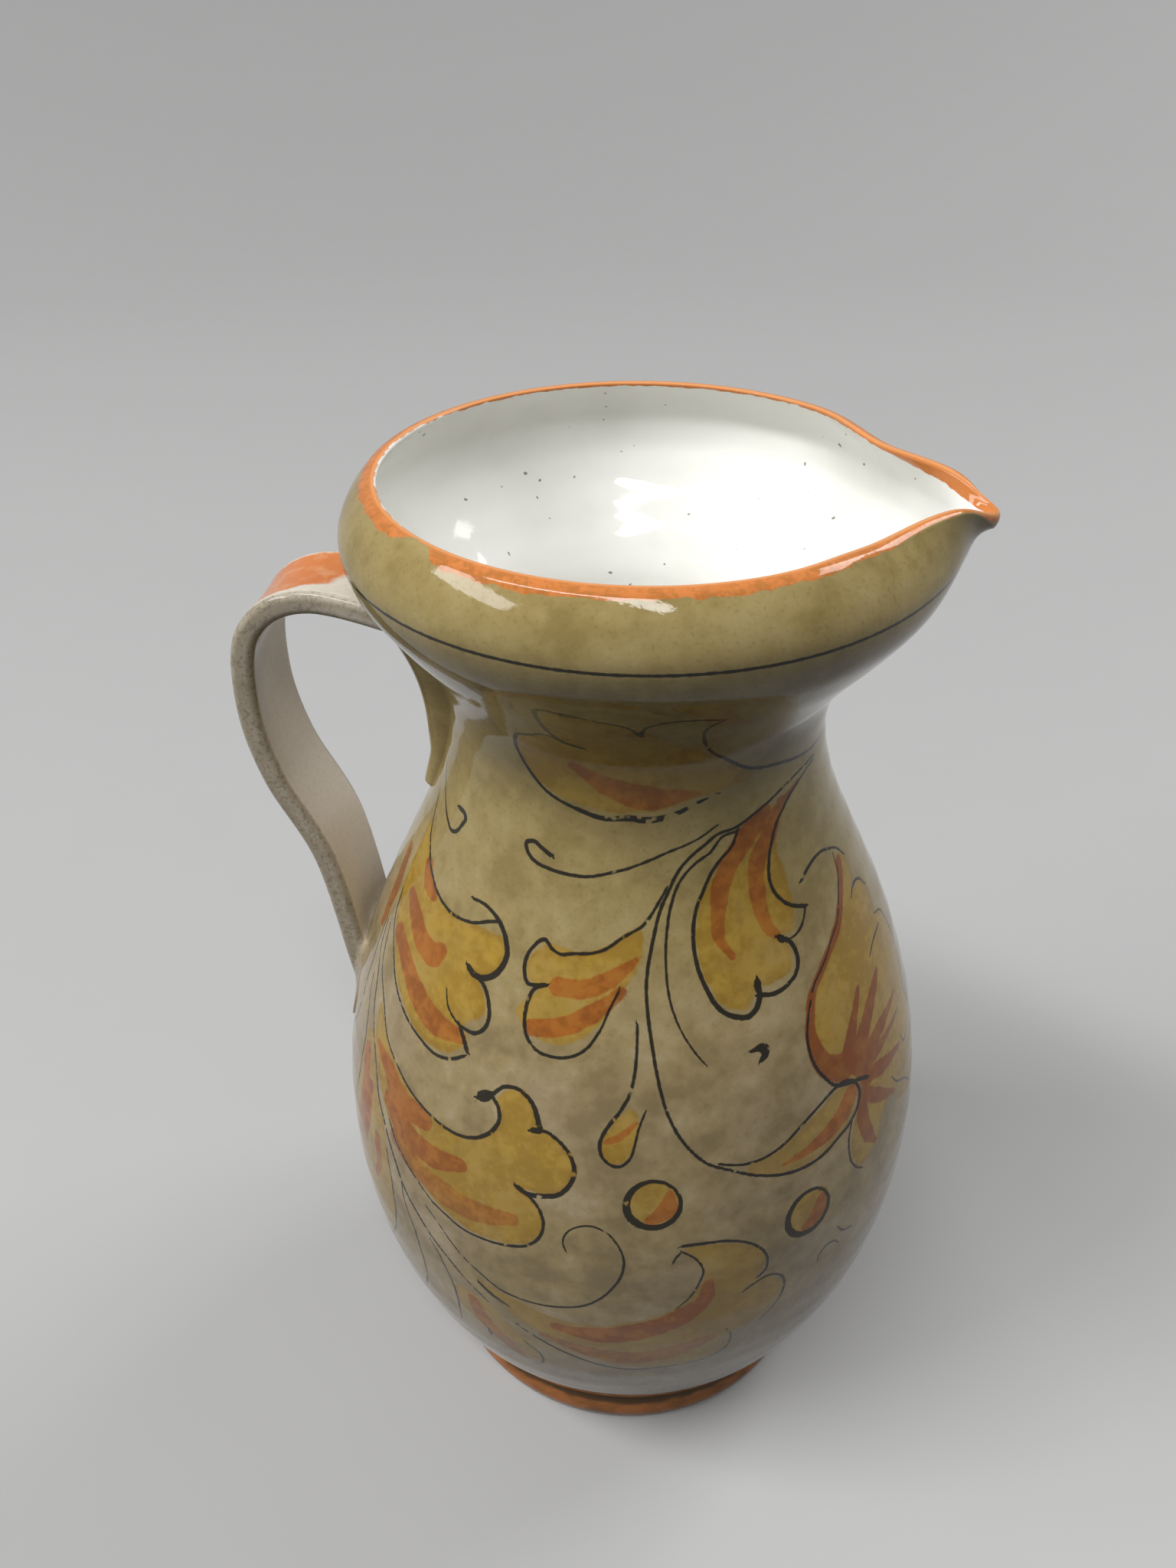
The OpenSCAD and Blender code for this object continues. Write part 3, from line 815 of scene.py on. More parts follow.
# The large flower below the lip, which lies on its side and flames towards it
LIP_FLOWER = (
    Line(((54.9, 171.5), (57.7, 172.6), (61.4, 173.5), (65.7, 173.5), (70.5, 172.1), (74.2, 170.4),
        (76.9, 167.7)), (1.0, 0.8, 0.6)),
    Line(((71.3, 170.6), (71, 167.7), (67.8, 163.7), (64.1, 159.6), (59.3, 157), (54.5, 153.8),
        (49.4, 150.5), (46.5, 146.3)), (0.5, 0.5, 0.6), dry=0.3),
    Line(((46.5, 146.3), (45, 141.8), (44.9, 138.2), (45.9, 134.2), (47.5, 131.1), (49.7, 127.9),
        (51.8, 126.6), (54.7, 125.4), (57.1, 124.4), (59.3, 123.2)), (0.7, 0.9, 1.2)),
    Line(((72.3, 159.5), (74.2, 160.5), (77.4, 160.7), (80.6, 159.2), (82.2, 157)), THIN),
    Line(((71, 146), (73.7, 147), (76.9, 147.4), (80.6, 147.4)), THIN),
    Line(((53.1, 116.3), (51.8, 112.3), (51.7, 108.8), (52.3, 105.2), (53.9, 102.1), (55.5, 100.5)), THIN),
    Line(((68.6, 115), (70.5, 111.9), (73.7, 109.2), (76.9, 106.1), (80, 101.6)), THIN),
    Line(((76, 120), (77, 117.5), (79.5, 117), (81, 119)), THIN),
    Line(((81, 150), (85.2, 148), (87.8, 141), (87.2, 132.5), (84.3, 126)), THIN),
    Line(((84.3, 126), (87, 119), (85.7, 110), (80, 101.6)), THIN),
    Wash(((72, 169.5), (76, 167), (76.5, 163), (74, 160.5), (81, 159), (83, 155), (81, 150), (85, 148),
        (87.6, 141), (87, 132.5), (84.3, 126), (86.8, 119), (85.5, 110), (80, 102.5), (72, 106), (66, 112),
        (60, 104), (55.5, 102), (52.8, 108), (54, 115), (58, 121), (52, 128), (47, 134), (46, 140),
        (48.5, 148), (55, 153), (62, 157.5), (69, 163.5)), 0.95),
    Touch(((73, 168), (69, 163.5), (63, 158.5), (55, 154), (48.5, 149), (46, 141), (48, 134), (53, 130)),
        (1.4, 1.5, 1.3, 1.1, 1.4, 1.7, 2.8, 3.6), 0.95),
    Touch(((54, 131), (58, 137.5), (62.8, 143.4)), (2.8, 1.7, 0.6), 0.95),
    Touch(((57, 129), (64, 136.5), (72, 141.8)), (3.2, 2.3, 0.8), 0.95),
    Touch(((58, 127), (66, 130), (77, 131.5)), (3.0, 2.1, 0.7), 0.95),
    Touch(((58, 126), (66, 126.5), (77, 127)), (2.2, 1.4, 0.5), 0.95),
    Touch(((58, 124), (65, 121.5), (74, 119.5)), (2.0, 2.0, 0.6), 0.95),
    Touch(((57, 121), (62, 116), (69, 110.5)), (1.8, 2.0, 0.7), 0.95),
    Touch(((56.5, 120.5), (56.5, 114), (58, 108), (60, 104.5)), (1.8, 2.4, 2.2, 1.0), 0.95),
)

LEAF_SCROLL: tuple[Strokes, ...] = (
    NECK_LEAF, NECK_TENDRIL, LONG_STEM, CENTRE_LEAF, HANGING_LEAF, DROP_BUD, UPPER_LEAF, BIG_LEAF,
    BERRIES, BOTTOM_LEAF, STEM_FAN, LOW_LEAF, LIP_FLOWER,
)


@dataclass(frozen=True)
class RimBand:
    """The painter's orange round the rim, as its reach from the crest in mm at turns in degrees."""

    outer: Points = (
        (-180, 3.0), (-100, 3.0), (-80, 3.3), (-60, 3.2), (-47, 3.0), (-43, 0.7), (-37, 0.5), (-34, 3.4),
        (-26, 3.9), (-8, 3.6), (6, 3.1), (30, 3.1), (50, 2.9), (62, 2.6), (75, 2.2), (90, 2.0), (105, 2.3),
        (125, 2.9), (180, 3.0),
    )
    inner: Points = (
        (-180, 1.4), (-125, 1.1), (-100, 0.4), (-60, 0.4), (-30, 0.9), (55, 0.9), (80, 1.1), (87, 3.2),
        (92, 4.4), (104, 4.2), (112, 2.2), (118, 1.3), (180, 1.4),
    )
    wave: float = 0.16
    sways: tuple[tuple[int, float, float], ...] = ((19, 0.0, 1.0), (47, 1.0, 1.0), (83, 2.0, 0.7))
    inner_sway: int = 31

    def depth(self, turn: Array, rim: Array) -> Array:
        """Gives how deep points lie inside the band.

        The depth is the lesser of the distances to the outer and the inner edge, and both edges sway
        with a few sines of the turn.

        Args:
            turn: angles round the jug in degrees.
            rim: distance from the crest over the section, positive outside, in millimetres.

        Returns:
            The depth in millimetres, negative outside the band.
        """
        held = (turn + 180.0) % 360.0 - 180.0
        sway = np.radians(held)
        edge = sum(size * np.sin(count * sway + shift) for count, shift, size in self.sways)
        outer = np.interp(held, *np.array(self.outer).T) + self.wave * edge
        inner = np.interp(held, *np.array(self.inner).T) + self.wave * np.sin(self.inner_sway * sway + edge)
        return np.clip(np.minimum(outer - rim, rim + inner), -REACH, REACH)


@dataclass
class Painting:
    """Works out, for points of the wall, how far they are from the ornament's lines and patches.

    Distances are measured in space on the wall before the lip is pulled, in millimetres. The back
    half repeats the front half, mirrored across the plane through lip and handle. Lines that come
    near each other are put on different layers, so that each layer holds a clean signed distance.
    """

    LAYERS: ClassVar[int] = 7

    wall: JugWall
    spacing: float = 0.6
    clear: float = 5.0
    least_r: float = 40.0
    end_gap: float = 0.6
    end_fall: float = 2.5
    layers: list[list[tuple[Line, Array]]] = field(init=False)
    washes: list[tuple[Wash, Array]] = field(init=False)
    touches: list[tuple[Touch, Array, Array]] = field(init=False)

    def __post_init__(self) -> None:
        """Samples all strokes, and shares the lines out among the layers."""
        strokes = [stroke for motif in LEAF_SCROLL for stroke in motif]
        washes, touches, lines = (
            [stroke for stroke in strokes if isinstance(stroke, kind)] for kind in (Wash, Touch, Line)
        )
        self.washes = [(wash, smooth_line(wash.outline, self.spacing, True)[0]) for wash in washes]
        self.touches = [(touch, *smooth_line(touch.points, self.spacing)) for touch in touches]
        self.layers = [[] for _ in range(self.LAYERS)]
        for line in lines:
            path, _ = smooth_line(line.points, self.spacing)
            spot = self.space(path)
            gaps = [
                min((self.gap(spot, self.space(other)) for _, other in layer), default=math.inf)
                for layer in self.layers
            ]
            free = next((k for k, gap in enumerate(gaps) if gap > self.clear), int(np.argmax(gaps)))
            self.layers[free].append((line, path))

    @staticmethod
    def gap(one: Array, other: Array) -> float:
        """Gives the least distance between two sets of points."""
        return float(np.min(np.linalg.norm(one[:, None] - other[None], axis=-1)))

    def space(self, path: Array) -> Array:
        """Sets (turn, height) rows on the round wall in space."""
        turn, z = np.radians(path[..., 0]), path[..., 1]
        r = self.wall.outer_r(z)
        return np.stack([r * np.sin(turn), -r * np.cos(turn), z], axis=-1)

    def nearest(self, at: Array, path: Array, closed: bool) -> tuple[Array, Array, Array]:
        """Finds each point's nearest place on a sampled path.

        The nearest sample is found first, then the foot of the perpendicular on the two stretches
        beside it. The side comes from the cross product of the way and the offset, in the plane of
        turn and height.

        Args:
            at: points as (turn, height) rows.
            path: samples as (turn, height) rows.
            closed: whether the path's ends meet.

        Returns:
            Distance, side (1 or -1) and share of the path for each point.
        """
        spots, line = self.space(at), self.space(path)
        square = np.sum(line**2, axis=1)[None, :] - 2.0 * spots @ line.T
        best = np.argmin(square, axis=1)
        last = len(path) - 1
        found = np.full(len(at), math.inf)
        side, share = np.ones(len(at)), np.zeros(len(at))
        scale = np.radians(self.wall.outer_r(at[:, 1]))
        for shift in (-1, 0):
            start = (best + shift) % last if closed else np.clip(best + shift, 0, last - 1)
            way = line[start + 1] - line[start]
            along = np.sum((spots - line[start]) * way, axis=1) / np.maximum(np.sum(way**2, axis=1), TINY)
            along = np.clip(along, 0.0, 1.0)
            distance = np.linalg.norm(spots - line[start] - along[:, None] * way, axis=1)
            flat_way, offset = path[start + 1] - path[start], at - path[start]
            turned = (flat_way[:, 0] * offset[:, 1] - flat_way[:, 1] * offset[:, 0]) * scale
            better = distance < found
            found = np.where(better, distance, found)
            side = np.where(better, np.where(turned < 0.0, -1.0, 1.0), side)
            share = np.where(better, (start + along) / last, share)
        return found, side, share

    def close_to(self, at: Array, path: Array, margin: float) -> Array:
        """Picks the points inside the path's box, widened by a margin in millimetres."""
        low, high = path.min(axis=0), path.max(axis=0)
        pad = np.array([np.degrees(margin / self.least_r), margin])
        return np.flatnonzero(np.all((at >= low - pad) & (at <= high + pad), axis=1))

    @staticmethod
    def within(at: Array, outline: Array) -> Array:
        """Says which points lie inside a closed outline, by counting the edges to their right."""
        start, end = outline[:-1], outline[1:]
        above = (start[None, :, 1] > at[:, None, 1]) != (end[None, :, 1] > at[:, None, 1])
        rise = np.where(np.abs(end[:, 1] - start[:, 1]) < TINY, TINY, end[:, 1] - start[:, 1])
        cut = start[:, 0] + (at[:, None, 1] - start[:, 1]) * (end[:, 0] - start[:, 0]) / rise
        return np.sum(above & (at[:, None, 0] < cut), axis=1) % 2 == 1

    def fields(self, turn: Array, z: Array) -> dict[str, Array]:
        """Works out the painting's values for points of the wall.

        Args:
            turn: angles round the jug in degrees.
            z: heights in millimetres.

        Returns:
            The values by name, each as a flat array: "yellow" and "orange" are depths inside the
            patches, with "yellow_depth" and "orange_depth" their strengths; "line0", "half0" and so
            on are the signed distance from a layer's line and the line's half width; "dry" is the
            brush's dryness.
        """
        turn = (turn.ravel() + 180.0) % 360.0 - 180.0
        turn = np.where(turn > 90.0, 180.0 - turn, np.where(turn < -90.0, -180.0 - turn, turn))
        at = np.stack([turn, z.ravel()], axis=-1)
        none, made = np.zeros(len(at)), self.bare(len(at))
        for wash, path in self.washes:
            near = self.close_to(at, path, REACH)
            distance, _, _ = self.nearest(at[near], path, True)
            depth = np.where(self.within(at[near], path), distance, -distance)
            self.deepen(made, "yellow", near, depth, wash.depth)
        for touch, path, share in self.touches:
            near = self.close_to(at, path, REACH + max(touch.halves))
            distance, _, along = self.nearest(at[near], path, False)
            at_sample = np.interp(along, np.linspace(0, 1, len(path)), share)
            half = np.interp(at_sample, np.linspace(0, 1, len(touch.halves)), touch.halves)
            self.deepen(made, "orange", near, half - distance, touch.depth)
        closest = none + REACH
        for number, layer in enumerate(self.layers):
            signed, half_width = none + REACH, none - 1.0
            for line, path in layer:
                near = self.close_to(at, path, REACH)
                distance, side, along = self.nearest(at[near], path, False)
                half = 0.5 * np.interp(along, (0.0, 0.5, 1.0), line.widths)
                past = np.maximum(0.0, distance - half - self.end_gap)
                half = np.maximum(half - self.end_fall * past, -1.0)
                better = distance < np.abs(signed[near])
                signed[near] = np.where(better, side * distance, signed[near])
                half_width[near] = np.where(better, half, half_width[near])
                drier = distance < closest[near]
                made["dry"][near] = np.where(drier, line.dry, made["dry"][near])
                closest[near] = np.minimum(closest[near], distance)
            made[f"line{number}"], made[f"half{number}"] = signed, half_width
        return made

    @classmethod
    def bare(cls, count: int) -> dict[str, Array]:
        """Gives the values of points that nothing is painted on."""
        levels = dict.fromkeys(("yellow", "orange", "rim"), -REACH)
        levels |= {"yellow_depth": 0.8, "orange_depth": 0.8, "dry": 0.1}
        levels |= {"inside": 0.0, "high": 0.0, "crest": 3.0 * REACH}
        for number in range(cls.LAYERS):
            levels |= {f"line{number}": REACH, f"half{number}": -1.0}
        return {name: np.full(count, level) for name, level in levels.items()}

    @staticmethod
    def deepen(made: dict[str, Array], name: str, near: Array, depth: Array, strength: float) -> None:
        """Takes a patch's depth where it is deeper than what is there, and its strength with it."""
        deeper = depth > made[name][near]
        made[f"{name}_depth"][near] = np.where(deeper, strength, made[f"{name}_depth"][near])
        made[name][near] = np.clip(np.maximum(made[name][near], depth), -REACH, REACH)


@dataclass
class ThrownPiece(Piece):
    """A stretch of the thrown wall between two seams, carried round the jug."""

    UNPAINTED_Z: ClassVar[float] = -99.0
    CLOSED: ClassVar[bool] = True

    painting: Painting
    columns: int = 480

    def line(self) -> WallLine:
        """Gives the piece's closed section."""
        raise NotImplementedError

    def turns(self) -> Array:
        """Gives the angles of the grid's columns: a full turn."""
        return full_turn(self.columns)

    def shell(self) -> Shell:
        """Carries the section round and works out what its finish reads.

        Returns:
            The closed surface. Its value "inside" is 1 on the jug's inner face, "high" is the height
            before the lip is pulled, and "rim" is the depth inside the rim's orange band, both in
            millimetres.
        """
        line, turns = self.line(), self.turns()
        points, normals = self.wall.carry(turns, line)
        turn, z = np.broadcast_arrays(np.degrees(turns)[:, None], line.z[None, :])
        values = self.painting.fields(turn, np.where(line.inside[None, :] > 0.5, self.UNPAINTED_Z, z))
        values["inside"] = np.broadcast_to(line.inside[None, :], turn.shape)
        values["high"] = z
        if line.z.max() > self.wall.rim_z:
            length = np.concatenate([[0.0], np.cumsum(np.hypot(np.diff(line.r), np.diff(line.z)))])
            values["crest"] = length[int(np.argmax(line.z))] - length[None, :] + 0.0 * turn
            values["rim"] = RimBand().depth(turn, values["crest"])
        faces = ring_faces(len(turns), len(line.z), self.CLOSED)
        return Shell(points.reshape(-1, 3), faces, normals.reshape(-1, 3), values)


@dataclass
class Belly(ThrownPiece):
    """The full lower wall, from the foot to the shoulder seam."""

    NODE: ClassVar[str] = "belly"
    SLOT: ClassVar[str] = "painted_glaze"

    rows_out: int = 150
    rows_in: int = 35

    def line(self) -> WallLine:
        """Runs up outside, over the spigot, down inside and back along the flat base."""
        wall = self.wall
        return WallLine.joined(
            wall.outer_line(wall.base_z, wall.shoulder_z, self.rows_out),
            wall.spigot_line(wall.shoulder_z),
            wall.inner_line(wall.shoulder_z + wall.spigot_h, wall.base_z, self.rows_in),
        )


@dataclass
class Neck(ThrownPiece):
    """The drawn-in wall between shoulder and mouth."""

    NODE: ClassVar[str] = "neck"
    SLOT: ClassVar[str] = "painted_glaze"

    rows_out: int = 76
    rows_in: int = 24

    def line(self) -> WallLine:
        """Runs up outside, over the spigot, down inside and round the socket."""
        wall = self.wall
        return WallLine.joined(
            wall.outer_line(wall.shoulder_z, wall.collar_z, self.rows_out),
            wall.spigot_line(wall.collar_z),
            wall.inner_line(wall.collar_z + wall.spigot_h, wall.shoulder_z + wall.spigot_h, self.rows_in),
            wall.socket_line(wall.shoulder_z),
        )


@dataclass
class MouthBowl(ThrownPiece):
    """The wide bowl at the top with its rounded rim, open where the lip's piece stands."""

    NODE: ClassVar[str] = "mouth_bowl"
    SLOT: ClassVar[str] = "olive_glaze"
    CLOSED: ClassVar[bool] = False

    columns: int = 401
    rows_out: int = 58
    rows_crown: int = 12
    rows_in: int = 56

    def line(self) -> WallLine:
        """Runs up outside, over the rim, down inside and round the socket."""
        wall = self.wall
        return WallLine.joined(
            wall.outer_line(wall.collar_z, wall.rim_z, self.rows_out),
            wall.crown_line(self.rows_crown),
            wall.inner_line(wall.rim_z, wall.collar_z + wall.spigot_h, self.rows_in),
            wall.socket_line(wall.collar_z),
        )

    def turns(self) -> Array:
        """Gives the columns' angles: from one end of the lip's arc round the back to the other."""
        arc = self.wall.lip_arc
        return np.radians(np.linspace(90.0 + arc, 360.0 + 90.0 - arc, self.columns))


@dataclass
class PouringLip(MouthBowl):
    """The pulled beak and the stretch of bowl below it."""

    NODE: ClassVar[str] = "pouring_lip"

    columns: int = 241
    crowd_power: float = 1.5

    def turns(self) -> Array:
        """Gives the columns' angles, crowded towards the beak: arc times share^1.5 on each side."""
        share = np.linspace(-1.0, 1.0, self.columns)
        bend = np.sign(share) * np.abs(share) ** self.crowd_power
        return np.radians(90.0 + self.wall.lip_arc * bend)


@dataclass
class Foot(Piece):
    """The low base disc with its rounded orange edge, which is also the jug's floor."""

    NODE: ClassVar[str] = "foot"
    SLOT: ClassVar[str] = "orange_band"
    FORM: ClassVar[str] = "disc"
    SHARP: ClassVar[Optional[float]] = 50.0

    edge_r: float = 50.8
    bead: float = 1.8
    edge_soft: float = 0.35
    soft_share: float = 1.0 / 12.0
    step_z: float = 11.5
    fillet: float = 6.0
    fillet_reach: float = 9.6
    hollow: float = 1.2
    hollow_r: float = 45.0
    hollow_slope: float = 6.0
    overlap: float = 0.05
    columns: int = 240
    under_rows: int = 20
    edge_rows: int = 22
    skirt_rows: int = 6
    floor_rows: int = 26

    def section(self) -> tuple[Array, Array]:
        """Draws the section from the underside's middle to the floor's middle.

        The underside is hollowed by a smooth dish inside the standing ring, the edge is a parabola
        edge_r - bead (2s - 1)^2 over the foot's height, and the floor rises against the belly's inner
        face by a fillet of cosine form.

        Returns:
            The section's radii and heights.
        """
        under = np.linspace(0.0, self.hollow_r, self.under_rows)[1:]
        under_z = self.hollow * ease((self.hollow_r - under) / self.hollow_slope)
        share = np.linspace(0.0, 1.0, self.edge_rows)
        edge = self.edge_r - self.bead * (2.0 * share - 1.0) ** 2
        soft = self.edge_soft * ease(1.0 - share / self.soft_share)
        skirt_z = np.linspace(self.wall.base_z, self.step_z + self.fillet, self.skirt_rows)
        skirt = self.wall.inner_r(skirt_z) + self.overlap
        floor = np.linspace(skirt[-1], 0.0, self.floor_rows)[1:-1]
        lift = np.clip(1.0 - (skirt[-1] - floor) / self.fillet_reach, 0.0, 1.0)
        floor_z = self.step_z + self.fillet * (1.0 - np.cos(0.5 * np.pi * lift))
        r = np.concatenate([under, edge - soft, skirt, floor])
        return r, np.concatenate([under_z, share * self.wall.base_z, skirt_z, floor_z])

    def shell(self) -> Shell:
        """Turns the section round the axis and closes both middles with fans.

        Returns:
            The closed surface. Its value "inside" is 1 on the jug's floor.
        """
        r, z = self.section()
        points, quads = turned_grid(r, z, self.columns)
        poles = np.array([(0.0, 0.0, self.hollow), (0.0, 0.0, self.step_z)])
        first = np.arange(self.columns) * len(r)
        second, last = np.roll(first, -1), len(r) - 1
        low, high = np.full(self.columns, len(points)), np.full(self.columns, len(points) + 1)
        below = np.stack([low, second, first], axis=-1)
        above = np.stack([high, first + last, second + last], axis=-1)
        inner = (z > self.wall.base_z + self.overlap) * 1.0
        inside = np.concatenate([np.tile(inner, self.columns), [0.0, 1.0]])
        faces = [quads, np.concatenate([below, above])]
        return Shell(np.concatenate([points, poles]), faces, None, {"inside": inside})


@dataclass
class StrapHandle(Piece):
    """The flat pulled strap from the underside of the bowl to the belly."""

    NODE: ClassVar[str] = "strap_handle"
    SLOT: ClassVar[str] = "strap_glaze"
    FORM: ClassVar[str] = "strap"

    reach: float = 45.48
    top_rise: float = 4.0
    root_drop: float = 28.5
    top_w: float = 22.5
    root_w: float = 25.0
    thick: float = 5.4
    edge_r: float = 1.8
    shares: Points = ((0.627, 1.062), (0.94, 0.972), (1.0, 0.773), (0.917, 0.568), (0.7, 0.33))
    span_steps: int = 60
    corner_points: int = 9
    face_points: int = 20
    body_rows: int = 200
    fillet_rows: int = 10
    inner_dish: float = 0.45
    outer_dish: float = 0.4
    top_fillet: float = 2.0
    root_fillet_in: float = 3.0
    root_fillet_out: float = 8.0
    crown: float = 2.5
    crown_share: float = 0.7
    root_along: float = 1.2
    sink: float = 1.2
    clear: float = 0.02

    def knots(self) -> Array:
        """Sets the points that the middle line runs through.

        Returns:
            Rows of distance from the axis and height, the last of them inside the belly's wall.
        """
        wall = self.wall
        top_z, root_z = wall.collar_z + self.top_rise, wall.shoulder_z - self.root_drop
        start = (float(wall.outer_r(np.array(top_z))) - wall.wall, top_z)
        root = np.array((float(wall.outer_r(np.array(root_z))), root_z))
        rise = top_z - root_z
        middle = [(wall.neck_r + out * self.reach, root_z + up * rise) for out, up in self.shares]
        way = root - np.array(middle[-1])
        return np.array([start, *middle, root, root + way / np.linalg.norm(way) * 2.0 * self.thick])

    def middle_line(self) -> Array:
        """Draws the middle line: a Catmull-Rom curve, slopes half the neighbours' difference.

        Returns:
            Rows of distance from the axis and height.
        """
        at = self.knots()
        way = np.gradient(at, axis=0)
        share = np.linspace(0.0, 1.0, self.span_steps, endpoint=False)[:, None]
        spans = [hermite(share, at[k], way[k], at[k + 1], way[k + 1]) for k in range(len(at) - 1)]
        return np.concatenate([*spans, at[-1:]])

    def outline(self, half_w: Array, dished: Array) -> tuple[Array, Array]:
        """Draws the section: a flat band with round corners and dished faces.

        A corner's point lies at half the width - r + r cos a across and at half the thickness - r
        + r sin a out, with r the corners' radius. Between the corners the faces sink in by their dish
        times 1 - share^2.

        Args:
            half_w: half the width at each row, as a column.
            dished: how much of the dish each row has, as a column, below 0 for a crowned face.

        Returns:
            The distances across and out from the middle line, on a grid of rows by section points.
        """
        corner = np.linspace(0.0, np.pi / 2.0, self.corner_points)
        face = np.linspace(1.0, -1.0, self.face_points)[1:-1]
        angle = np.concatenate([corner, np.full(len(face), np.pi / 2.0), corner + np.pi / 2.0])
        share = np.concatenate([np.ones(len(corner)), face, -np.ones(len(corner))])
        side = np.repeat([1.0, -1.0], len(angle))
        angle, share = np.concatenate([angle, angle + np.pi]), np.concatenate([share, -share])
        across = share * (half_w - self.edge_r) + self.edge_r * np.cos(angle)
        out = side * (self.thick / 2.0 - self.edge_r) + self.edge_r * np.sin(angle)
        dish = np.where(side < 0.0, -self.inner_dish, self.outer_dish) * dished
        return across, out - dish * (1.0 - share**2)

    def rails(self) -> tuple[Array, Array]:
        """Carries the section along the middle line.

        Returns:
            Points on a grid of path rows by section points, and the row at which each rail comes out
            of the bowl and goes into the belly, as an array of two by section points.
        """
        path = self.middle_line()
        rows = len(path)
        way = unit(np.gradient(path, axis=0))
        normal = np.stack([-way[:, 1], way[:, 0]], axis=-1)
        share = np.linspace(0.0, 1.0, rows)[:, None]
        half_w = (self.top_w + (self.root_w - self.top_w) * share) / 2.0
        crowned = ease((share - self.crown_share) / (1.0 - self.crown_share))
        side, lift = self.outline(half_w, 1.0 - self.crown * crowned)
        far = path[:, :1] + normal[:, :1] * lift
        z = path[:, 1:] + normal[:, 1:] * lift
        points = np.stack([-far, -side, z], axis=-1)
        free = np.hypot(far, side) - self.wall.outer_r(z)
        outside = free > 0.0
        first = np.argmax(outside, axis=0)
        last = rows - 1 - np.argmax(outside[::-1], axis=0)
        rail = np.arange(side.shape[1])
        before, at_first = free[np.maximum(first - 1, 0), rail], free[first, rail]
        start = first - at_first / np.maximum(at_first - before, TINY)
        at_last, after = free[last, rail], free[np.minimum(last + 1, rows - 1), rail]
        end = last + at_last / np.maximum(at_last - after, TINY)
        return points, np.stack([start, end])

    @staticmethod
    def along(points: Array, rows: Array) -> Array:
        """Reads the rails between their rows.

        Args:
            points: the rails on a grid of rows by rails.
            rows: broken row numbers, one for each rail in each line.

        Returns:
            The points, on a grid of lines by rails.
        """
        low = np.clip(np.floor(rows).astype(int), 0, len(points) - 2)
        share = (rows - low)[..., None]
        rail = np.arange(points.shape[1])[None, :]
        return points[low, rail] * (1.0 - share) + points[low + 1, rail] * share

    def fillet(self, foot: Array, away: Array, size: Array) -> Array:
        """Blends the strap into the wall with quarter-ellipse fillets.

        For each rail, the point at angle p is foot + size (1 - cos p) o + (1 - sin p) t, with t from
        the foot to the strap's trimmed end and o the way along the wall, off the ring's middle.

        Args:
            foot: where each rail meets the wall.
            away: the way from there to the strap's trimmed end.
            size: each rail's fillet size.

        Returns:
            Rings from the wall up to the rail, the first of them sunk under the wall.
        """
        turn, z = np.arctan2(foot[:, 0], -foot[:, 1]), foot[:, 2]
        slope = self.wall.slope(z, False)
        level = np.stack([np.sin(turn), -np.cos(turn), np.zeros(len(z))], axis=-1)
        normal = unit(level - np.array([0.0, 0.0, 1.0]) * slope[:, None])
        ring = unit(np.roll(foot, -1, axis=0) - np.roll(foot, 1, axis=0))
        aside = unit(np.cross(ring, normal))
        from_middle = foot - foot.mean(axis=0)
        aside = aside * np.sign(np.sum(aside * from_middle, axis=1, keepdims=True))
        angle = np.linspace(np.pi / 2.0, 0.0, self.fillet_rows)[:, None, None]
        grown = size[None, :, None]
        rings = foot + grown * (1.0 - np.cos(angle)) * aside + (1.0 - np.sin(angle)) * away
        flat = np.hypot(rings[..., 0], rings[..., 1])
        short = np.maximum(self.wall.outer_r(rings[..., 2]) + self.clear - flat, 0.0)
        rings[..., :2] *= ((flat + short) / flat)[..., None]
        sunk = rings[0] - normal * self.sink
        return np.concatenate([sunk[None], rings])

    def shell(self) -> Shell:
        """Trims the rails to the walls, adds the fillets and closes the ends.

        Returns:
            The closed surface. Its values are "along", 0 at the bowl and 1 to 1.2 at the belly, "across",
            from -1 to 1 over the width, and "face", from -1 on the inner side, towards the jug, to 1
            outside.
        """
        points, ends = self.rails()
        step = np.linalg.norm(np.diff(points, axis=0), axis=-1).mean()
        across, out = self.outline(np.array([[self.root_w / 2.0]]), np.zeros((1, 1)))
        across, out = across[0] * 2.0 / self.root_w, out[0] * 2.0 / self.thick
        grown = np.full(len(across), self.top_fillet)
        rooted = self.root_fillet_in + (self.root_fillet_out - self.root_fillet_in) * (out + 1.0) / 2.0
        starts, stops = ends[0] + grown / step, ends[1] - rooted / step
        share = np.linspace(0.0, 1.0, self.body_rows)[:, None]
        body = self.along(points, starts + (stops - starts) * share)
        foot_top, foot_root = self.along(points, ends[:1])[0], self.along(points, ends[1:])[0]
        top = self.fillet(foot_top, body[0] - foot_top, grown)
        root = self.fillet(foot_root, body[-1] - foot_root, rooted)
        rings = np.concatenate([top[:-1], body, root[::-1][1:]])
        count = len(rings)
        past = np.linspace(1.0, self.root_along, self.fillet_rows)
        spot = np.concatenate([np.zeros(self.fillet_rows), share[:, 0], past])
        values = {
            "along": np.broadcast_to(spot[:, None], (count, len(across))),
            "across": np.broadcast_to(across, (count, len(across))),
            "face": np.broadcast_to(out, (count, len(across))),
        }
        faces = ring_faces(count, len(across), False)
        return Shell(rings.reshape(-1, 3), faces, None, values)


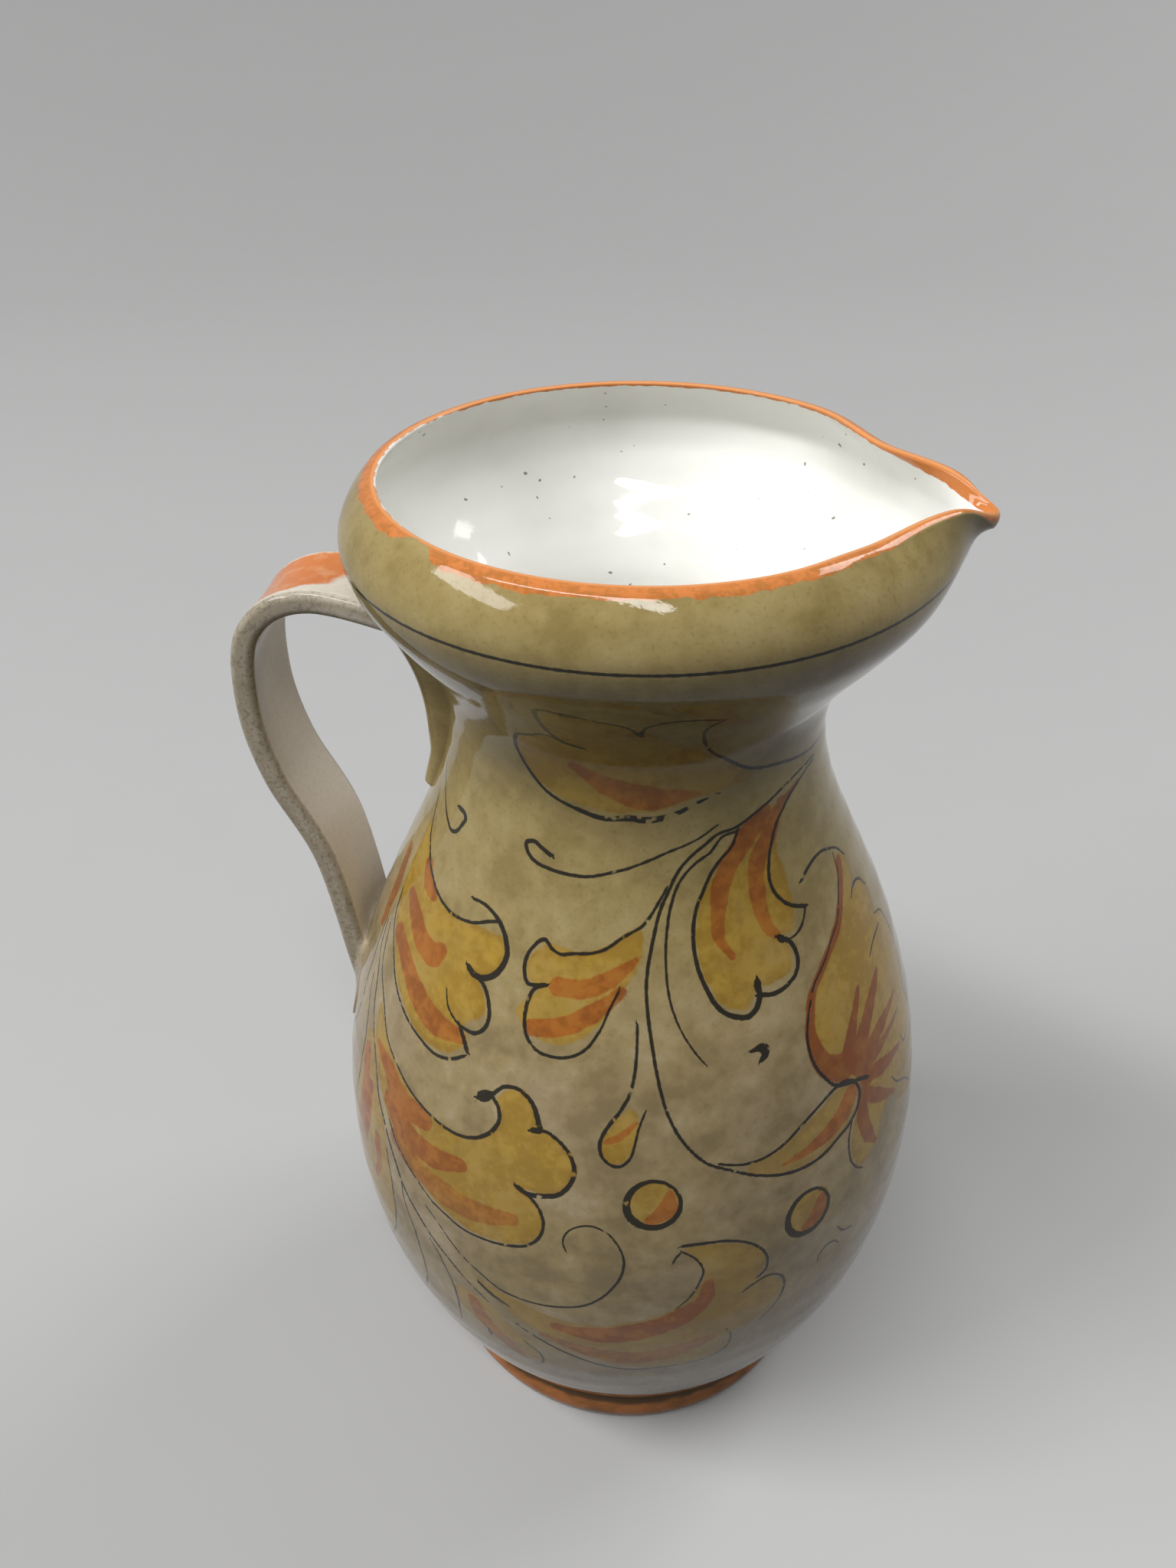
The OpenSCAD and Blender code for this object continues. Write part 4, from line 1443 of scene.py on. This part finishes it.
@dataclass
class HandleTail(Piece):
    """The tongue of clay under the strap's upper end, laid down the back of the neck."""

    NODE: ClassVar[str] = "handle_tail"
    SLOT: ClassVar[str] = "olive_glaze"
    FORM: ClassVar[str] = "tongue"
    SHARP: ClassVar[Optional[float]] = 55.0

    strap: StrapHandle
    tail_h: float = 38.5
    top_z: float = 215.0
    tip_half_w: float = 5.0
    half_w: float = 6.0
    top_half_w: float = 8.2
    widen_h: float = 16.0
    flare_h: float = 10.0
    tip_t: float = 2.2
    tip_share: float = 0.35
    tip_round: float = 1.2
    thin_power: float = 1.1
    start_row: float = 0.625
    dent: float = 0.5
    dent_up: float = 9.0
    dent_spread: float = 4.0
    side_power: float = 2.0 / 3.5
    stand_power: float = 2.0 / 2.6
    under_share: float = 0.96
    skirt: float = 0.35
    sink: float = 1.0
    rows: int = 110
    crowd_power: float = 1.15
    over: int = 40
    under: int = 8

    def shell(self) -> Shell:
        """Lays rings over the neck from the cut tip up into the strap.

        At each height the tongue stands t(z) off the wall, growing as share^1.1 from the tip, over a
        superelliptic section: across is cos^(2/3.5) and the standing is t sin^(2/2.6) of the angle.

        Returns:
            The closed surface, with the values that the jug's glaze reads.
        """
        path = self.strap.middle_line()
        row = int(self.start_row * self.strap.span_steps)
        way = unit(path[row + 1] - path[row - 1])
        start = path[row] - np.array([-way[1], way[0]]) * self.strap.thick / 2.0
        root_t = start[0] - float(self.wall.outer_r(np.array(start[1])))
        low = self.wall.collar_z - self.tail_h
        share = np.linspace(0.0, 1.0, self.rows) ** self.crowd_power
        z = (low + (self.top_z - low) * share)[:, None]
        rise = (z - low) / (start[1] - low)
        tall = self.tip_t + (root_t - self.tip_t) * rise**self.thin_power
        tall = tall * ease(self.tip_share + (z - low) / self.tip_round)
        tall = tall - self.dent * bell(z - low - self.dent_up, self.dent_spread)
        half = self.tip_half_w + (self.half_w - self.tip_half_w) * ease((z - low) / self.widen_h)
        half = half + (self.top_half_w - self.half_w) * ease((z - start[1] + self.flare_h) / self.flare_h)
        angle = np.linspace(0.0, np.pi, self.over)
        across = np.sign(np.cos(angle)) * np.abs(np.cos(angle)) ** self.side_power
        stand = np.abs(np.sin(angle)) ** self.stand_power
        back = np.linspace(-1.0, 1.0, self.under + 2)[1:-1]
        across = np.concatenate([across, back * self.under_share])
        stand = np.concatenate([stand, np.zeros(self.under)])
        sunk = np.concatenate([np.zeros(self.over), np.full(self.under, self.sink)])
        side = across * half
        neck = np.sqrt(np.maximum(self.wall.outer_r(z) ** 2 - side**2, 1.0))
        skirt = np.where(stand < TINY, -self.skirt, 0.0)
        far = neck + tall * stand + skirt - sunk
        points = np.stack([-far, -side, np.broadcast_to(z, side.shape)], axis=-1)
        count = points.shape[1]
        faces, bare = ring_faces(self.rows, count, False), Painting.bare(self.rows * count)
        return Shell(points.reshape(-1, 3), faces, None, bare)


Operand = Union["Value", float]


class Value:
    """A number's socket in a shader graph, which takes part in plain arithmetic."""

    def __init__(self, graph: "Graph", socket: bpy.types.NodeSocket) -> None:
        """Keeps the socket and its graph."""
        self.graph = graph
        self.socket = socket

    def math(self, operation: str, *operands: Operand) -> "Value":
        """Adds a Math node to the graph.

        Args:
            operation: the node's operation.
            operands: its inputs in order.

        Returns:
            The result's socket.
        """
        return self.graph.node("ShaderNodeMath", {"operation": operation}, dict(enumerate(operands)))

    def __add__(self, other: Operand) -> "Value":
        """Adds."""
        return self.math("ADD", self, other)

    def __sub__(self, other: Operand) -> "Value":
        """Subtracts."""
        return self.math("SUBTRACT", self, other)

    def __rsub__(self, other: float) -> "Value":
        """Subtracts from a number."""
        return self.math("SUBTRACT", other, self)

    def __mul__(self, other: Operand) -> "Value":
        """Multiplies."""
        return self.math("MULTIPLY", self, other)

    __radd__, __rmul__ = __add__, __mul__

    def __abs__(self) -> "Value":
        """Takes the size without its sign."""
        return self.math("ABSOLUTE", self)

    def larger(self, other: Operand) -> "Value":
        """Takes the larger of two."""
        return self.math("MAXIMUM", self, other)

    def smaller(self, other: Operand) -> "Value":
        """Takes the smaller of two."""
        return self.math("MINIMUM", self, other)

    def step(self, low: float, high: float) -> "Value":
        """Rises smoothly from 0 to 1 while the value goes from low to high."""
        settings = {"interpolation_type": "SMOOTHSTEP"}
        return self.graph.node(
            "ShaderNodeMapRange", settings, {"Value": self, "From Min": low, "From Max": high}
        )


Link = Union[Value, float, Sequence[float]]


@dataclass(frozen=True)
class Pattern:
    """A noise pattern: patches per metre, finer layers and their strength, and how much coarser upwards."""

    scale: float
    detail: float = 2.0
    rough: float = 0.5
    stretch: float = 1.0


@dataclass(frozen=True)
class Gloss:
    """How a fired glaze shines: roughness, what rough spots add, and waves with their height in metres."""

    rough: float
    rough_spots: float
    wave_h: float
    spots_at: Span = (0.5, 0.8)
    waves: Pattern = Pattern(420.0, 3.0, 0.6)
    wave_strength: float = 0.25
    ior: float = 1.33


SHOWING_RAYS = ("Camera", "Glossy", "Transmission")


class Graph:
    """The node graph of a material or of the world, to which nodes are added one at a time."""

    def __init__(self, owner: Union[bpy.types.Material, bpy.types.World]) -> None:
        """Empties the owner's graph."""
        owner.use_nodes = True
        self.owner = owner
        self.tree = owner.node_tree
        self.tree.nodes.clear()

    @cached_property
    def place(self) -> Value:
        """Reads the place in the part's own frame."""
        return self.node("ShaderNodeTexCoord", {}, {}, "Object")

    @staticmethod
    def socket(sockets: Sequence[bpy.types.NodeSocket], key: Union[str, int]) -> bpy.types.NodeSocket:
        """Finds a socket by its number, its identifier or its name."""
        if isinstance(key, int):
            return sockets[key]
        return next((s for s in sockets if s.identifier == key), None) or sockets[key]

    def node(
        self, kind: str, settings: Mapping[str, Any], links: Mapping[Union[str, int], Link],
        output: Union[str, int] = 0,
    ) -> Value:
        """Adds a node.

        Args:
            kind: the node's type.
            settings: properties that are set first.
            links: values or other sockets for its inputs.
            output: the output that is wanted.

        Returns:
            That output's socket.
        """
        made = self.tree.nodes.new(kind)
        for key, setting in settings.items():
            setattr(made, key, setting)
        for key, link in links.items():
            target = self.socket(made.inputs, key)
            if isinstance(link, Value):
                self.tree.links.new(link.socket, target)
            else:
                target.default_value = link
        return Value(self, self.socket(made.outputs, output)) if len(made.outputs) else Value(self, None)

    def seen(self) -> Value:
        """Gives 1 to the rays that show a thing, straight, mirrored or through glass, and 0 to the rest."""
        rays = [self.node("ShaderNodeLightPath", {}, {}, f"Is {kind} Ray") for kind in SHOWING_RAYS]
        return rays[0].larger(rays[1]).larger(rays[2])

    def read(self, name: str) -> Value:
        """Reads one of the piece's own values."""
        return self.node("ShaderNodeAttribute", {"attribute_name": name}, {}, "Fac")

    def noise(self, pattern: Pattern) -> Value:
        """Adds a noise pattern, which is about 0.5 on the average.

        Args:
            pattern: its sizes.

        Returns:
            The pattern's value.
        """
        place = self.place
        if pattern.stretch != 1.0:
            scaled = {0: self.place, 1: (1.0, 1.0, 1.0 / pattern.stretch)}
            place = self.node("ShaderNodeVectorMath", {"operation": "MULTIPLY"}, scaled)
        sockets = {"Scale": pattern.scale, "Detail": pattern.detail, "Roughness": pattern.rough}
        return self.node("ShaderNodeTexNoise", {}, {"Vector": place, **sockets})

    def mix(self, share: Operand, one: Union[Value, Colour], other: Union[Value, Colour]) -> Value:
        """Mixes two colours by a share of the second."""
        links: dict[Union[str, int], Link] = {"Factor_Float": share}
        for key, colour in (("A_Color", one), ("B_Color", other)):
            links[key] = colour if isinstance(colour, Value) else (*colour, 1.0)
        return self.node("ShaderNodeMix", {"data_type": "RGBA"}, links, "Result_Color")

    def height(self) -> Value:
        """Reads the height over the jug's foot, in millimetres."""
        return self.node("ShaderNodeSeparateXYZ", {}, {0: self.place}, "Z") * (1.0 / MM)

    def end(self, sockets: Mapping[Union[str, int], Link]) -> None:
        """Ends the graph in a surface shader with these sockets."""
        shader = self.node("ShaderNodeBsdfPrincipled", {}, sockets)
        self.node("ShaderNodeOutputMaterial", {}, {"Surface": shader})

    def glazed(self, colour: Value, gloss: Gloss) -> None:
        """Ends the graph in a glaze, whose fine waves also make it rougher in spots.

        Args:
            colour: base colour.
            gloss: how the glaze shines.
        """
        fine = self.noise(gloss.waves)
        waves = {"Strength": gloss.wave_strength, "Distance": gloss.wave_h, "Height": fine}
        normal = self.node("ShaderNodeBump", {}, waves)
        rough = gloss.rough + fine.step(*gloss.spots_at) * gloss.rough_spots
        self.end({"Base Color": colour, "Roughness": rough, "Normal": normal, "IOR": gloss.ior})


@dataclass(frozen=True)
class GroundGlaze:
    """The mottled ground: olive on the bowl and the neck, greyer and pinker down the belly."""

    olive: Colour = (0.335, 0.255, 0.098)
    olive_pale: Colour = (0.38, 0.30, 0.132)
    olive_dark: Colour = (0.265, 0.197, 0.068)
    beige: Colour = (0.325, 0.246, 0.114)
    rose: Colour = (0.325, 0.246, 0.145)
    pale: Colour = (0.40, 0.325, 0.20)
    dusk: Colour = (0.235, 0.175, 0.085)
    fleck: Colour = (0.15, 0.10, 0.035)
    white: Colour = (0.86, 0.855, 0.81)
    white_grey: Colour = (0.80, 0.795, 0.75)
    speck: Colour = (0.12, 0.09, 0.06)
    cloud: Pattern = Pattern(26.0)
    mottle: Pattern = Pattern(85.0, 3.0, 0.55)
    spots: Pattern = Pattern(300.0)
    grain: Pattern = Pattern(1300.0, 1.0)
    haze: Pattern = Pattern(45.0, 3.0)
    dots: Pattern = Pattern(520.0, 0.0)
    olive_z: Span = (120.0, 190.0)
    olive_sway: float = 50.0
    dark_at: Span = (0.38, 0.53)
    pale_at: Span = (0.5, 0.64)

    def colour(self, graph: Graph) -> Value:
        """Mixes the ground from clouds of three sizes and fine flecks.

        Args:
            graph: the material's graph.

        Returns:
            The ground's colour.
        """
        clouds, mottle = graph.noise(self.cloud), graph.noise(self.mottle)
        spots, grain = graph.noise(self.spots), graph.noise(self.grain)
        up = (graph.height() + (clouds - 0.5) * self.olive_sway).step(*self.olive_z)
        tone = clouds * 0.2 + mottle * 0.55 + spots * 0.25
        belly = graph.mix(clouds.step(0.35, 0.62), self.beige, self.rose)
        belly = graph.mix(tone.step(*self.dark_at), self.dusk, belly)
        belly = graph.mix(tone.step(*self.pale_at) * 0.9, belly, self.pale)
        bowl = graph.mix(tone.step(*self.dark_at), self.olive_dark, self.olive)
        bowl = graph.mix(tone.step(*self.pale_at) * 0.8, bowl, self.olive_pale)
        ground = graph.mix(up, belly, bowl)
        return graph.mix(grain.step(0.5, 0.85) * (0.2 + 0.12 * up), ground, self.fleck)

    def inner(self, graph: Graph) -> Value:
        """Gives the white of the inside with faint clouds and a few dark specks."""
        clouds = graph.noise(self.haze)
        white = graph.mix(clouds.step(0.4, 0.75), self.white, self.white_grey)
        specks = graph.noise(self.dots).step(0.84, 0.86)
        return graph.mix(specks * 0.8, white, self.speck)


@dataclass(frozen=True)
class Brushwork:
    """The painter's brush: its colours, its patterns and its sizes in millimetres."""

    yellow: Colour = (0.41, 0.25, 0.027)
    yellow_deep: Colour = (0.29, 0.165, 0.014)
    orange: Colour = (0.37, 0.10, 0.010)
    orange_deep: Colour = (0.225, 0.052, 0.006)
    rim_orange: Colour = (0.60, 0.205, 0.055)
    rim_dark: Colour = (0.38, 0.135, 0.028)
    # Paler line along the crest: partly the paint's own lighter tone, partly painted highlight
    crest_pale_and_highlight: Colour = (0.72, 0.33, 0.13)
    ink: Colour = (0.010, 0.009, 0.007)
    line_half: float = 0.36
    line_z: float = 237.1
    line_sway: float = 0.3
    ink_edge: Span = (-0.12, 0.14)
    wash_over: float = 0.45
    wash_edge: Span = (-0.3, 0.4)
    pool_width: float = 1.4
    touch_edge: Span = (-0.2, 0.3)
    streak_sway: float = 2.0
    cloud_sway: float = 1.6
    rim_sway: float = 1.1
    outer_side: Span = (0.2, 1.2)
    crest_in: float = 0.1
    crest_half: float = 0.55
    crest_edge: Span = (-0.25, 0.3)
    cloud: Pattern = Pattern(70.0)
    streak: Pattern = Pattern(200.0, 3.0, 0.6)
    fine: Pattern = Pattern(480.0, 2.0, 0.6)
    wobble: Pattern = Pattern(750.0, 1.0)
    gaps: Pattern = Pattern(400.0, 1.0)
    sponge: Pattern = Pattern(330.0, 3.0, 0.65)
    grain: Pattern = Pattern(900.0, 2.0, 0.6)

    def patches(self, graph: Graph, ground: Value) -> Value:
        """Lays the yellow washes and the orange touches over the ground.

        Args:
            graph: the material's graph.
            ground: the colour below.

        Returns:
            The colour with the patches on it.
        """
        cloud, streak, fine = (graph.noise(pattern) for pattern in (self.cloud, self.streak, self.fine))
        wash, touch = graph.read("yellow"), graph.read("orange")
        edge = (streak - 0.5) * self.streak_sway + (cloud - 0.5) * self.cloud_sway
        yellow = (wash + self.wash_over + edge).step(*self.wash_edge) * graph.read("yellow_depth")
        yellow = yellow * (0.42 + cloud + (fine - 0.5) * 0.5).smaller(1.0)
        pooled = (1.0 - wash.step(0.0, self.pool_width)) * 0.35
        deep = ((cloud * 0.3 + streak * 0.4 + fine * 0.3).step(0.43, 0.57) * 0.8 + pooled).smaller(1.0)
        painted = graph.mix(yellow, ground, graph.mix(deep, self.yellow, self.yellow_deep))
        strength = graph.read("orange_depth")
        orange = (touch + edge * 0.5).step(*self.touch_edge) * strength
        orange = orange * (0.55 + streak * 0.8).smaller(1.0)
        firm = (deep + (strength - 0.85).larger(0.0) * 8.0).smaller(1.0)
        return graph.mix(orange, painted, graph.mix(firm, self.orange, self.orange_deep))

    def lines(self, graph: Graph, below: Value) -> Value:
        """Draws the dark lines: in each layer the ink ends where the distance passes the half width.

        Args:
            graph: the material's graph.
            below: the colour below.

        Returns:
            The colour with the lines on it.
        """
        wobble = (graph.noise(self.wobble) - 0.5) * self.line_sway
        ink: Optional[Value] = None
        for number in range(Painting.LAYERS):
            inside = graph.read(f"half{number}") + wobble - abs(graph.read(f"line{number}"))
            drawn = inside.step(*self.ink_edge)
            ink = drawn if ink is None else ink.larger(drawn)
        dry = graph.read("dry")
        gaps = (graph.noise(self.gaps) + dry * 0.2).step(0.7, 0.78)
        ring = (self.line_half + wobble - abs(graph.read("high") - self.line_z)).step(*self.ink_edge)
        ink = (ink * (1.0 - gaps * 0.92)).larger(ring * (1.0 - graph.read("inside")))
        return graph.mix(ink * 0.96, below, self.ink)

    def rim(self, graph: Graph, below: Value) -> Value:
        """Paints the orange rim with its ragged edges and its sponge-like mottle.

        Args:
            graph: the material's graph.
            below: the colour below.

        Returns:
            The colour with the band on it.
        """
        rough, grain = graph.noise(self.sponge), graph.noise(self.grain)
        # Paints the orange rim with its ragged edges, its sponge-like mottle and a paler line along the
        # crest, partly painted highlight.
        depth = graph.read("rim")
        inside = (depth + (rough - 0.5) * self.rim_sway).step(*self.ink_edge)
        crest = graph.read("crest")
        outside = crest.step(*self.outer_side)
        worn = 1.0 - grain.step(0.5, 0.75) * (0.05 + outside * 0.12)
        sponge = (rough * 0.5 + grain * 0.5).step(0.4, 0.62) * (0.12 + outside * 0.6)
        tone = graph.mix(sponge, self.rim_orange, self.rim_dark)
        # Paler along the crest: partly the paint's own tone, partly painted highlight
        top = (self.crest_half - abs(crest + self.crest_in)).step(*self.crest_edge)
        tone = graph.mix(top * 0.7, tone, self.crest_pale_and_highlight)
        return graph.mix(inside * worn, below, tone)


@dataclass(frozen=True)
class Finish:
    """A glaze of the jug."""

    gloss: Gloss = Gloss(0.05, 0.06, 0.00012)
    ground: GroundGlaze = GroundGlaze()
    inside_at: Span = (0.4, 0.6)

    def colour(self, graph: Graph) -> Value:
        """Mixes the glaze's colour in a material's graph."""
        raise NotImplementedError

    def lined(self, graph: Graph, outside: Value) -> Value:
        """Lays the white of the inside over a colour, where the piece's wall looks inwards."""
        return graph.mix(graph.read("inside").step(*self.inside_at), outside, self.ground.inner(graph))

    def material(self, name: str) -> bpy.types.Material:
        """Builds the glaze.

        Args:
            name: the material's name.

        Returns:
            The material.
        """
        graph = Graph(bpy.data.materials.new(name))
        graph.glazed(self.colour(graph), self.gloss)
        return graph.owner


@dataclass(frozen=True)
class JugFinish(Finish):
    """The glaze of belly, neck, bowl, lip and tail: ground, ornament, rim and white inside."""

    brush: Brushwork = Brushwork()

    def colour(self, graph: Graph) -> Value:
        """Lays the ornament on the ground, the white inside it, and the rim's band over both."""
        painted = self.brush.lines(graph, self.brush.patches(graph, self.ground.colour(graph)))
        return self.brush.rim(graph, self.lined(graph, painted))


@dataclass(frozen=True)
class FootFinish(Finish):
    """The brushed orange of the foot's edge, with the white floor and a bare underside."""

    gloss: Gloss = Gloss(0.12, 0.15, 0.0002)
    orange: Colour = (0.43, 0.155, 0.042)
    brown: Colour = (0.225, 0.09, 0.026)
    bare: Colour = (0.50, 0.36, 0.24)
    # Painted shade: near-black at the top of the edge, where it tucks in under the belly
    painted_groove_shade: Colour = (0.10, 0.055, 0.022)
    band_top: float = 6.9
    bare_top: float = 0.9
    sway: float = 2.0
    groove_shade_edge: Span = (-0.5, 0.5)
    bare_edge: Span = (-0.4, 0.4)
    streak: Pattern = Pattern(130.0, 3.0, 0.6, 0.35)
    cloud: Pattern = Pattern(60.0, 3.0)

    def colour(self, graph: Graph) -> Value:
        """Sets orange, a near-black painted shade where the edge tucks in under the belly, and bare clay
        over each other by height, with ragged edges.

        Args:
            graph: the material's graph.

        Returns:
            The foot's colour.
        """
        streak, cloud = graph.noise(self.streak), graph.noise(self.cloud)
        edge = graph.mix((streak * 0.6 + cloud * 0.4).step(0.42, 0.66), self.orange, self.brown)
        low = graph.height()
        ragged = (streak - 0.5) * self.sway
        # Above band_top the edge is painted near-black as shade under the belly
        colour = graph.mix((low - self.band_top + ragged).step(*self.groove_shade_edge), edge, self.painted_groove_shade)
        colour = graph.mix((self.bare_top + ragged - low).step(*self.bare_edge), colour, self.bare)
        return self.lined(graph, colour)


@dataclass(frozen=True)
class StrapFinish(Finish):
    """The speckled beige strap with an orange stroke, placed in shares of its length and half width."""

    gloss: Gloss = Gloss(0.08, 0.1, 0.00015)
    beige: Colour = (0.56, 0.48, 0.36)
    rose: Colour = (0.63, 0.54, 0.43)
    # Inner face's colour: partly its own paler glaze, partly painted light standing in for the light that
    # falls on it
    hand: Colour = (0.84, 0.77, 0.67)
    # Darker colour of the rounded edges, which also serves as the painted shade on the inner face
    edge: Colour = (0.31, 0.265, 0.19)
    pale: Colour = (0.74, 0.69, 0.60)
    fleck: Colour = (0.16, 0.125, 0.08)
    orange: Colour = (0.62, 0.20, 0.06)
    orange_pale: Colour = (0.70, 0.36, 0.18)
    top_face: Span = (0.35, 0.75)
    pale_end: float = 0.85
    # Where the band of painted shade lies on the inner face: across the width, and from and to along the
    # strap
    painted_shade_side: Span = (0.3, 0.84)
    painted_shade_from: Span = (0.03, 0.16)
    painted_shade_end: float = 0.8
    edge_side: Span = (0.84, 0.93)
    stroke_from: float = 0.065
    stroke_end: float = 0.8
    stroke_near: float = 0.76
    stroke_far: float = 0.84
    root_from: Span = (0.97, 1.15)
    cloud: Pattern = Pattern(70.0, 3.0)
    grain: Pattern = Pattern(1000.0, 2.0, 0.6)
    rough: Pattern = Pattern(240.0, 3.0, 0.6)

    def colour(self, graph: Graph) -> Value:
        """Mixes the speckled body with its darker edges, the paler inner face that is partly painted light,
        a band of painted shade beside its near corner, the orange stroke and the root in the jug's ground.

        Args:
            graph: the material's graph.

        Returns:
            The strap's colour.
        """
        along, across, face = graph.read("along"), graph.read("across"), graph.read("face")
        cloud, grain, rough = (graph.noise(pattern) for pattern in (self.cloud, self.grain, self.rough))
        body = graph.mix(cloud.step(0.4, 0.68), self.beige, self.rose)
        under, top = (0.2 - face).step(0.0, 0.4), face.step(*self.top_face)
        # The inner face is painted paler: partly its own glaze, partly painted light
        body = graph.mix(under * 0.85, body, self.hand)
        body = graph.mix(top * (self.pale_end - along).step(-0.25, 0.15) * 0.85, body, self.pale)
        # Painted shade: a soft dark band on the inner face beside the near corner
        dusk = under * across.step(*self.painted_shade_side) * along.step(*self.painted_shade_from)
        dusk = dusk * (self.painted_shade_end - along).step(0.0, 0.5)
        body = graph.mix(dusk * 0.4, body, self.edge)
        edge = abs(across).step(*self.edge_side) * (0.3 + along * 4.0).smaller(1.0)
        body = graph.mix(edge * (0.6 + rough * 0.5).smaller(1.0), body, self.edge)
        body = graph.mix(grain.step(0.5, 0.64) * (0.08 + edge * 0.4), body, self.fleck)
        ragged = (rough - 0.5) * 0.5
        near = (0.12 + along * 4.5).smaller(self.stroke_near) + ragged * 0.6 - across
        band = near.smaller(across + self.stroke_far + ragged * 0.6).step(-0.05, 0.08)
        ends = (along - self.stroke_from - across * 0.03 + ragged * 0.05).step(-0.006, 0.012)
        stroke = top * band * ends * (self.stroke_end + ragged - along).step(-0.12, 0.12)
        tone = graph.mix(rough.step(0.45, 0.75) * 0.6, self.orange, self.orange_pale)
        colour = graph.mix(stroke, body, tone)
        return graph.mix((along + ragged * 0.2).step(*self.root_from), colour, self.ground.colour(graph))


class LampPlace(Enum):
    """The studio's soft lamps."""

    ABOVE = "above"
    LEFT = "left"
    RIGHT = "right"


@dataclass(frozen=True)
class Lamp:
    """A soft rectangular lamp that looks at the middle of the jug."""

    at: tuple[float, float, float]
    size: tuple[float, float]
    watts: float


@dataclass
class Studio:
    """The pale floor, the soft light and the camera at the photograph's angle."""

    aim: tuple[float, float, float] = (0.0, 0.0, 0.14)
    camera_at: tuple[float, float, float] = (0.0306, -0.2606, 0.3519)
    tilt: float = 55.804
    swing: float = 9.096
    roll: float = -0.131
    lens: float = 31.64
    sensor: float = 36.0
    floor_rings: tuple[float, ...] = (1.0, 400.0, 800.0)
    floor_r: float = 1200.0
    cove_r: float = 3000.0
    cove_h: float = 1900.0
    cove_rows: int = 25
    floor_columns: int = 72
    floor_colour: Colour = (0.42, 0.42, 0.418)
    floor_cloud: Colour = (0.6, 0.6, 0.6)
    floor_clouds: Pattern = Pattern(30.0, 3.0)
    floor_cloud_share: float = 0.06
    floor_rough: float = 0.6
    floor_bounce: Colour = (0.03, 0.03, 0.03)
    world_level: float = 0.16
    world_seen: float = 0.36
    lamps: Mapping[LampPlace, Lamp] = field(
        default_factory=lambda: {
            LampPlace.ABOVE: Lamp((-0.6, -1.1, 2.7), (3.0, 0.35), 72.0),
            LampPlace.LEFT: Lamp((-2.0, -0.9, 1.9), (1.6, 0.5), 32.0),
            LampPlace.RIGHT: Lamp((1.6, 1.3, 2.0), (1.4, 0.8), 32.0),
        }
    )

    def floor(self) -> None:
        """Lays the pale floor: a flat disc that rises all round in a quarter ellipse."""
        bend = np.linspace(0.0, 0.5 * np.pi, self.cove_rows)
        r = np.concatenate([self.floor_rings, self.floor_r + (self.cove_r - self.floor_r) * np.sin(bend)])
        z = np.concatenate([np.zeros(len(self.floor_rings)), self.cove_h * (1.0 - np.cos(bend))])
        points, quads = turned_grid(r, z, self.floor_columns)
        graph = Graph(bpy.data.materials.new("pale_floor"))
        clouds = graph.noise(self.floor_clouds) * self.floor_cloud_share
        pale = graph.mix(clouds, self.floor_colour, self.floor_cloud)
        colour = graph.mix(graph.seen(), self.floor_bounce, pale)
        graph.end({"Base Color": colour, "Roughness": self.floor_rough})
        Shell(points, [quads]).to_object("floor", graph.owner)

    def light(self) -> None:
        """Hangs the lamps and sets the grey world."""
        for place, lamp in self.lamps.items():
            data = bpy.data.lights.new(f"lamp_{place.value}", "AREA")
            data.shape, data.energy = "RECTANGLE", lamp.watts
            data.size, data.size_y = lamp.size
            made = bpy.data.objects.new(data.name, data)
            turn = (Vector(self.aim) - Vector(lamp.at)).to_track_quat("-Z", "Y")
            made.matrix_world = Matrix.Translation(lamp.at) @ turn.to_matrix().to_4x4()
            bpy.context.scene.collection.objects.link(made)
        graph = Graph(bpy.data.worlds.new("studio"))
        level = graph.seen() * (self.world_seen - self.world_level) + self.world_level
        sky = graph.node("ShaderNodeBackground", {}, {"Color": (1.0, 1.0, 1.0, 1.0), "Strength": level})
        graph.node("ShaderNodeOutputWorld", {}, {"Surface": sky})
        bpy.context.scene.world = graph.owner

    def camera(self) -> None:
        """Sets the camera at the photograph's place."""
        data = bpy.data.cameras.new("camera")
        data.lens, data.sensor_width = self.lens, self.sensor
        made = bpy.data.objects.new("camera", data)
        turn = (
            Matrix.Rotation(math.radians(self.swing), 4, "Z")
            @ Matrix.Rotation(math.radians(self.tilt), 4, "X")
            @ Matrix.Rotation(math.radians(self.roll), 4, "Z")
        )
        made.matrix_world = Matrix.Translation(self.camera_at) @ turn
        bpy.context.scene.collection.objects.link(made)
        bpy.context.scene.camera = made


def main() -> None:
    """Builds the studio and the jug's pieces in order."""
    logging.basicConfig(level=logging.INFO, format="%(name)s: %(message)s")
    bpy.context.scene.view_settings.view_transform = "Standard"
    studio = Studio()
    studio.camera()
    studio.light()
    studio.floor()
    wall = JugWall.from_frame()
    painting = Painting(wall)
    finish = JugFinish()
    painted, olive = finish.material("painted_glaze"), finish.material("olive_glaze")
    Foot(wall).build(FootFinish().material("orange_band"))
    Belly(wall, painting).build(painted)
    Neck(wall, painting).build(painted)
    MouthBowl(wall, painting).build(olive)
    PouringLip(wall, painting).build(olive)
    strap = StrapHandle(wall)
    strap.build(StrapFinish().material("strap_glaze"))
    HandleTail(wall, strap).build(olive)


if __name__ == "__main__":
    main()
